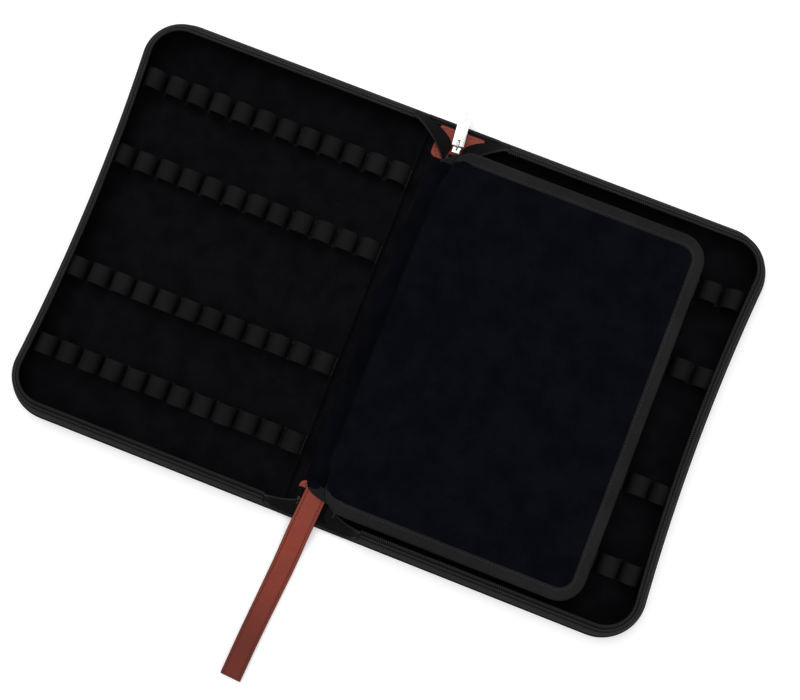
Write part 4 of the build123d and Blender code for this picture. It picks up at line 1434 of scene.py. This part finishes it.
def apron_skin():
    """Velvet that runs on from the flap over the spine, with bound ends; lines join its two ends.

    Each line goes straight from a point on the lower end's curve to its fellow on the upper one's.
    """
    share = np.array([0, 0.06, 0.12, 0.18, 0.25, 0.32, 0.4, 0.48, 0.56, 0.64, 0.72, 0.8, 0.87, 0.94, 1.0])
    low, high = bezier(APRON_LOW, share), bezier(APRON_HIGH, share)
    near = np.array([0, 1.2, 3, 5, 7, 9, 11.5, 14, 17, 20, 24, 30, 38]) / 250
    along = np.concatenate([near, np.linspace(0.2, 0.8, 24), 1 - near[::-1]])[:, None, None]
    plan = (1 - along) * low + along * high
    height = apron_height(plan[..., 0], plan[..., 1]) + wave(plan[..., 0], plan[..., 1], 33, 0.08)
    half = APRON / 2 * np.clip(0.3 + share / 0.06, 0, 1)
    upper, lower = lifted(plan, height + half), lifted(plan, height - half)
    return capped(np.concatenate([lower[:, ::-1], upper], axis=1))


def apron_binding_skins():
    """Folded cloth along the apron's two curved ends, carried over its rise, with its stitches."""
    across = np.append(np.linspace(BINDING_WIDTH, 1.5, 8), [0.9, 0.5, 0.2, 0.05, 0])
    section = band(np.stack([across, np.zeros_like(across)], 1), APRON_BINDING)
    skins = []
    for corners, turn in ((APRON_HIGH, -1), (APRON_LOW, 1)):
        curve = bezier(corners, np.linspace(APRON_BOUND, 1, 40))
        inward = turn * to_left(heading_of(curve))
        grown = 0.2 + 0.8 * smooth(running(curve) / 12)
        plan = curve[:, None] + grown[:, None, None] * section[None, :, 0:1] * inward[:, None]
        height = apron_height(plan[..., 0], plan[..., 1]) + section[None, :, 1]
        skins.append(skin(capped(lifted(plan, height))))
        spots, lean, heading = spaced(curve[12:], inward[12:], size("stitch_pitch"), 2.0)
        spots = spots + (BINDING_WIDTH - STITCH_INSET) * lean
        rise = apron_height(spots[:, 0], spots[:, 1]) + APRON_BINDING / 2 + 0.02
        skins.append(seam(BINDING_STITCH, spots, rise, heading))
    return skins


# Operators


class PENCASE_OT_covers(bpy.types.Operator):
    """Makes the leather covers, one sheet from the middle of the spine round each tray"""

    bl_idname = "pencase.covers"
    bl_label = "Covers"

    def execute(self, context):
        cover = skin(laid_sheet(0.0, 0.0, 0.0, LEATHER, 0.6, 0.0, 1), wrap=False)
        for side, sign in SIDES:
            piece = new_piece(f"{side}_leather", [cover], "leather", "brown_leather", sign=sign)
            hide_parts(f"{side}_cover", "spine_cover")
            bend_with_tray(piece)
        return {"FINISHED"}


class PENCASE_OT_linings(bpy.types.Operator):
    """Lays the cloth in the trays and over the folds of the spine"""

    bl_idname = "pencase.linings"
    bl_label = "Linings"

    def execute(self, context):
        cloth = skin(laid_sheet(PANEL_START, PANEL_INSET - 0.4, FOAM_TOP, TRAY_TOP, 0.4, 0.14, 2), wrap=False)
        hem = skin(fold_lining_skin())
        for side, sign in SIDES:
            piece = new_piece(f"{side}_lining_cloth", [cloth], "lining", "suede_cloth", sign=sign)
            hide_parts(f"{side}_lining")
            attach(piece, f"{side}_tray")
            fold = new_piece(f"{side}_fold_lining", [hem], "lining", "suede_cloth", sign=sign)
            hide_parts("spine_lining")
            bend_with_tray(fold)
        return {"FINISHED"}


class PENCASE_OT_walls(bpy.types.Operator):
    """Raises the soft walls, their ends over the folds and the piping at their foot"""

    bl_idname = "pencase.walls"
    bl_label = "Walls"

    def execute(self, context):
        for side, sign in SIDES:
            wall = new_piece(f"{side}_soft_wall", [skin(wall_skin())], "webbing", "wall_cloth", sign=sign)
            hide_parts(f"{side}_wall")
            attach(wall, f"{side}_tray")
            cord = skin(piping_skin())
            piping = new_piece(f"{side}_piping_cord", [cord], "webbing", "piping_cloth", sign=sign)
            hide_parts(f"{side}_piping")
            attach(piping, f"{side}_tray")
            for end_name, end in ENDS:
                name = f"{side}_wall_end_{end_name}"
                tail = new_piece(name, [skin(wall_end_skin(end))], "webbing", "wall_cloth", sign=sign)
                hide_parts(f"spine_edge_{end_name}")
                bend_with_tray(tail)
        return {"FINISHED"}


class PENCASE_OT_zip(bpy.types.Operator):
    """Sews on the zip: tapes, coils, free ends, crimps, slider and puller"""

    bl_idname = "pencase.zip"
    bl_label = "Zip"

    def execute(self, context):
        for side, sign in SIDES:
            tape = new_piece(f"{side}_tape", tape_skins(), "webbing", "tape", "black_thread", sign=sign)
            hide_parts(f"{side}_zip_tape")
            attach(tape, f"{side}_tray")
            coil = new_piece(f"{side}_coil", coil_skins(), "coil", "nylon_coil", "tape", sign=sign)
            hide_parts(f"{side}_zip_coil")
            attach(coil, f"{side}_tray")
            for end_name, end, ways in (("upper", 1, UPPER_ARM), ("lower", -1, LOWER_ARM)):
                name, parts = f"{side}_free_tape_{end_name}", arm_skins(end, *ways)
                arm = new_piece(name, parts, "webbing", "plain_tape", "nylon_coil", sign=sign)
                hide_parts(f"{side}_zip_arm_{end_name}")
                bend_with_tray(arm)
            softened(f"{side}_zip_stop", f"{side}_crimp", "nylon_coil", "root", 0.2)
        tail = new_piece("sewn_tape_end", [skin(tail_skin())], "webbing", "plain_tape")
        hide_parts("zip_tail")
        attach(tail, "root")
        softened("zip_slider", "slider", "nickel_plate", "root", 0.16)
        puller = softened("zip_puller", "puller_tab", "nickel_plate", "puller", 0.28)
        pin = Matrix.Translation(Vector((0, PIN_Y * MM, 0)))
        puller.data.transform(pin @ Matrix.Rotation(radians(PULLER_LIES), 4, "Z") @ pin.inverted())
        return {"FINISHED"}


class PENCASE_OT_loops(bpy.types.Operator):
    """Sews down the eight strips of elastic loops"""

    bl_idname = "pencase.loops"
    bl_label = "Elastic loops"

    def execute(self, context):
        for side, sign in SIDES:
            for number, y in enumerate(BANDS, start=1):
                name = f"{side}_elastic_{number}"
                parts = loop_skins(number + (len(BANDS) if sign < 0 else 0), y)
                strip = new_piece(name, parts, "elastic", "ribbed_elastic", "black_thread", sign=sign)
                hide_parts(f"{side}_loops_{number}_inner", f"{side}_loops_{number}_outer")
                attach(strip, f"{side}_tray")
        return {"FINISHED"}


class PENCASE_OT_flap(bpy.types.Operator):
    """Makes the padded flap, its bound edge and the web that carries it"""

    bl_idname = "pencase.flap"
    bl_label = "Flap"

    def execute(self, context):
        pad = new_piece("flap_pad", [skin(flap_pad_skin())], "velvet", "blue_velvet")
        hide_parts("flap_face_upper", "flap_face_lower")
        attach(pad, "flap")
        board = new_piece("flap_inner_board", [skin(flap_board_skin())], "stiffener", "grey_board")
        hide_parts("flap_board")
        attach(board, "flap")
        edge = new_piece("flap_bound_edge", binding_skins(), "webbing", "binding", "black_thread")
        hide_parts("flap_binding")
        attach(edge, "flap")
        web = new_piece("flap_carrying_web", [skin(web_skin())], "webbing", "blue_velvet")
        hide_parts("flap_web", "flap_hinge_strip")
        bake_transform(web)
        apron = new_piece("flap_apron", [skin(apron_skin())], "velvet", "blue_velvet")
        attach(apron, "root")
        ends = new_piece("flap_apron_binding", apron_binding_skins(), "webbing", "binding", "black_thread")
        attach(ends, "root")
        return {"FINISHED"}


class PENCASE_OT_spine_ends(bpy.types.Operator):
    """Sews the leather patches inside the spine's two ends"""

    bl_idname = "pencase.spine_ends"
    bl_label = "Spine ends"

    def execute(self, context):
        for end_name, end in ENDS:
            name = f"leather_patch_{end_name}"
            patch = new_piece(name, patch_skins(end), "leather", "brown_leather", "leather_thread")
            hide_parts(f"spine_patch_{end_name}")
            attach(patch, "root")
        # Painted shade: a black sheet over the lower patch on both sides of the strap
        cloth = new_piece("strap_end_cloth", [skin(shade_sheet_skin())], "lining", "suede_cloth")
        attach(cloth, "root")
        return {"FINISHED"}


class PENCASE_OT_strap(bpy.types.Operator):
    """Makes the doubled wrist strap with its sewn root"""

    bl_idname = "pencase.strap"
    bl_label = "Wrist strap"

    def execute(self, context):
        strap = new_piece("leather_strap", strap_skins(), "leather", "brown_leather", "leather_thread")
        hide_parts("wrist_strap", "strap_anchor")
        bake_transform(strap)
        return {"FINISHED"}


class PENCASE_OT_kept_solids(bpy.types.Operator):
    """Gives the boards and the foam their finishes"""

    bl_idname = "pencase.kept_solids"
    bl_label = "Boards and foam"

    def execute(self, context):
        slots = {entry["node"]: entry["material_slot"] for entry in frame["record"]["subparts"]}
        for node, solid in frame["nodes"].items():
            solid.data.materials.clear()
            solid.data.materials.append(finish(SLOT_FINISHES[slots[node]]))
        return {"FINISHED"}


class PENCASE_OT_stage(bpy.types.Operator):
    """Sets the floor, the soft lights, the white surroundings and the photograph's camera"""

    bl_idname = "pencase.stage"
    bl_label = "Stage"

    def execute(self, context):
        make_floor()
        make_lights()
        make_surroundings()
        make_camera()
        context.scene.view_settings.view_transform = "Standard"
        return {"FINISHED"}


# The stage


def make_floor():
    """Plain floor just under the case."""
    mesh = bpy.data.meshes.new("floor")
    corners = ((-1, -1), (1, -1), (1, 1), (-1, 1))
    mesh.from_pydata([(FLOOR * x, FLOOR * y, -0.0002) for x, y in corners], [], [(0, 1, 2, 3)])
    mesh.materials.append(finish("pale_floor"))
    add_object("floor", mesh)


def make_lights():
    """Three large soft lamps above the case: name, place, width and power."""
    lamps = (
        ("key", (-0.7, 0.5, 1.5), 1.4, 15.0),
        ("fill", (0.9, -0.6, 1.4), 1.6, 9.0),
        ("far", (0.2, 1.4, 1.1), 1.4, 6.0),
    )
    for name, spot, width, power in lamps:
        light = bpy.data.lights.new(name, "AREA")
        light.shape = "SQUARE"
        light.size = width
        light.energy = power
        lamp = add_object(name, light)
        lamp.location = spot
        lamp.rotation_euler = (-Vector(spot)).to_track_quat("-Z", "Y").to_euler()


def make_surroundings():
    """Even soft light from all round, white where it is seen directly."""
    world = bpy.data.worlds.new("surroundings")
    world.use_nodes = True
    tree = world.node_tree
    shader = next(n for n in tree.nodes if n.type == "BACKGROUND")
    strength = maths(tree, "MULTIPLY_ADD", seen_directly(tree), 1 - SOFT_LIGHT, SOFT_LIGHT)
    wire(tree, shader, Color=(1, 1, 1, 1), Strength=strength)
    bpy.context.scene.world = world


def make_camera():
    """The camera of the photograph: the world is turned and shifted in front of it, as fitted."""
    turn = [Matrix.Rotation(radians(a), 4, axis) for a, axis in zip(CAMERA_TURN, "XYZ")]
    world_to_camera = Matrix.Translation(Vector(CAMERA_SHIFT) * MM) @ turn[0] @ turn[1] @ turn[2]
    data = bpy.data.cameras.new("photo_camera")
    data.sensor_width = SENSOR
    data.lens = CAMERA_FOCUS / PHOTO_WIDTH * SENSOR
    data.clip_end = 20.0
    camera = add_object("photo_camera", data)
    camera.matrix_world = world_to_camera.inverted()
    bpy.context.scene.camera = camera


OPERATORS = (
    PENCASE_OT_kept_solids,
    PENCASE_OT_covers,
    PENCASE_OT_linings,
    PENCASE_OT_walls,
    PENCASE_OT_zip,
    PENCASE_OT_loops,
    PENCASE_OT_spine_ends,
    PENCASE_OT_flap,
    PENCASE_OT_strap,
    PENCASE_OT_stage,
)


class PENCASE_PT_panel(bpy.types.Panel):
    bl_label = "Pen case"
    bl_idname = "PENCASE_PT_panel"
    bl_space_type = "VIEW_3D"
    bl_region_type = "UI"
    bl_category = "Pen case"

    def draw(self, context):
        for group in (context.scene.pen_case_sizes, context.scene.pen_case_colours):
            box = self.layout.box()
            for name in group.__annotations__:
                box.prop(group, name)
        for operator in OPERATORS:
            self.layout.operator(operator.bl_idname)


CLASSES = (PenCaseSizes, PenCaseColours, *OPERATORS, PENCASE_PT_panel)


def register():
    """Makes the sizes, colours, operators and panel known to Blender."""
    for each in CLASSES:
        bpy.utils.register_class(each)
    bpy.types.Scene.pen_case_sizes = bpy.props.PointerProperty(type=PenCaseSizes)
    bpy.types.Scene.pen_case_colours = bpy.props.PointerProperty(type=PenCaseColours)


def unregister():
    """Takes them out again."""
    del bpy.types.Scene.pen_case_colours
    del bpy.types.Scene.pen_case_sizes
    for each in reversed(CLASSES):
        bpy.utils.unregister_class(each)


def main():
    """Runs each operator in turn."""
    register()
    for operator in OPERATORS:
        group, name = operator.bl_idname.split(".")
        getattr(getattr(bpy.ops, group), name)()


if __name__ == "__main__":
    main()
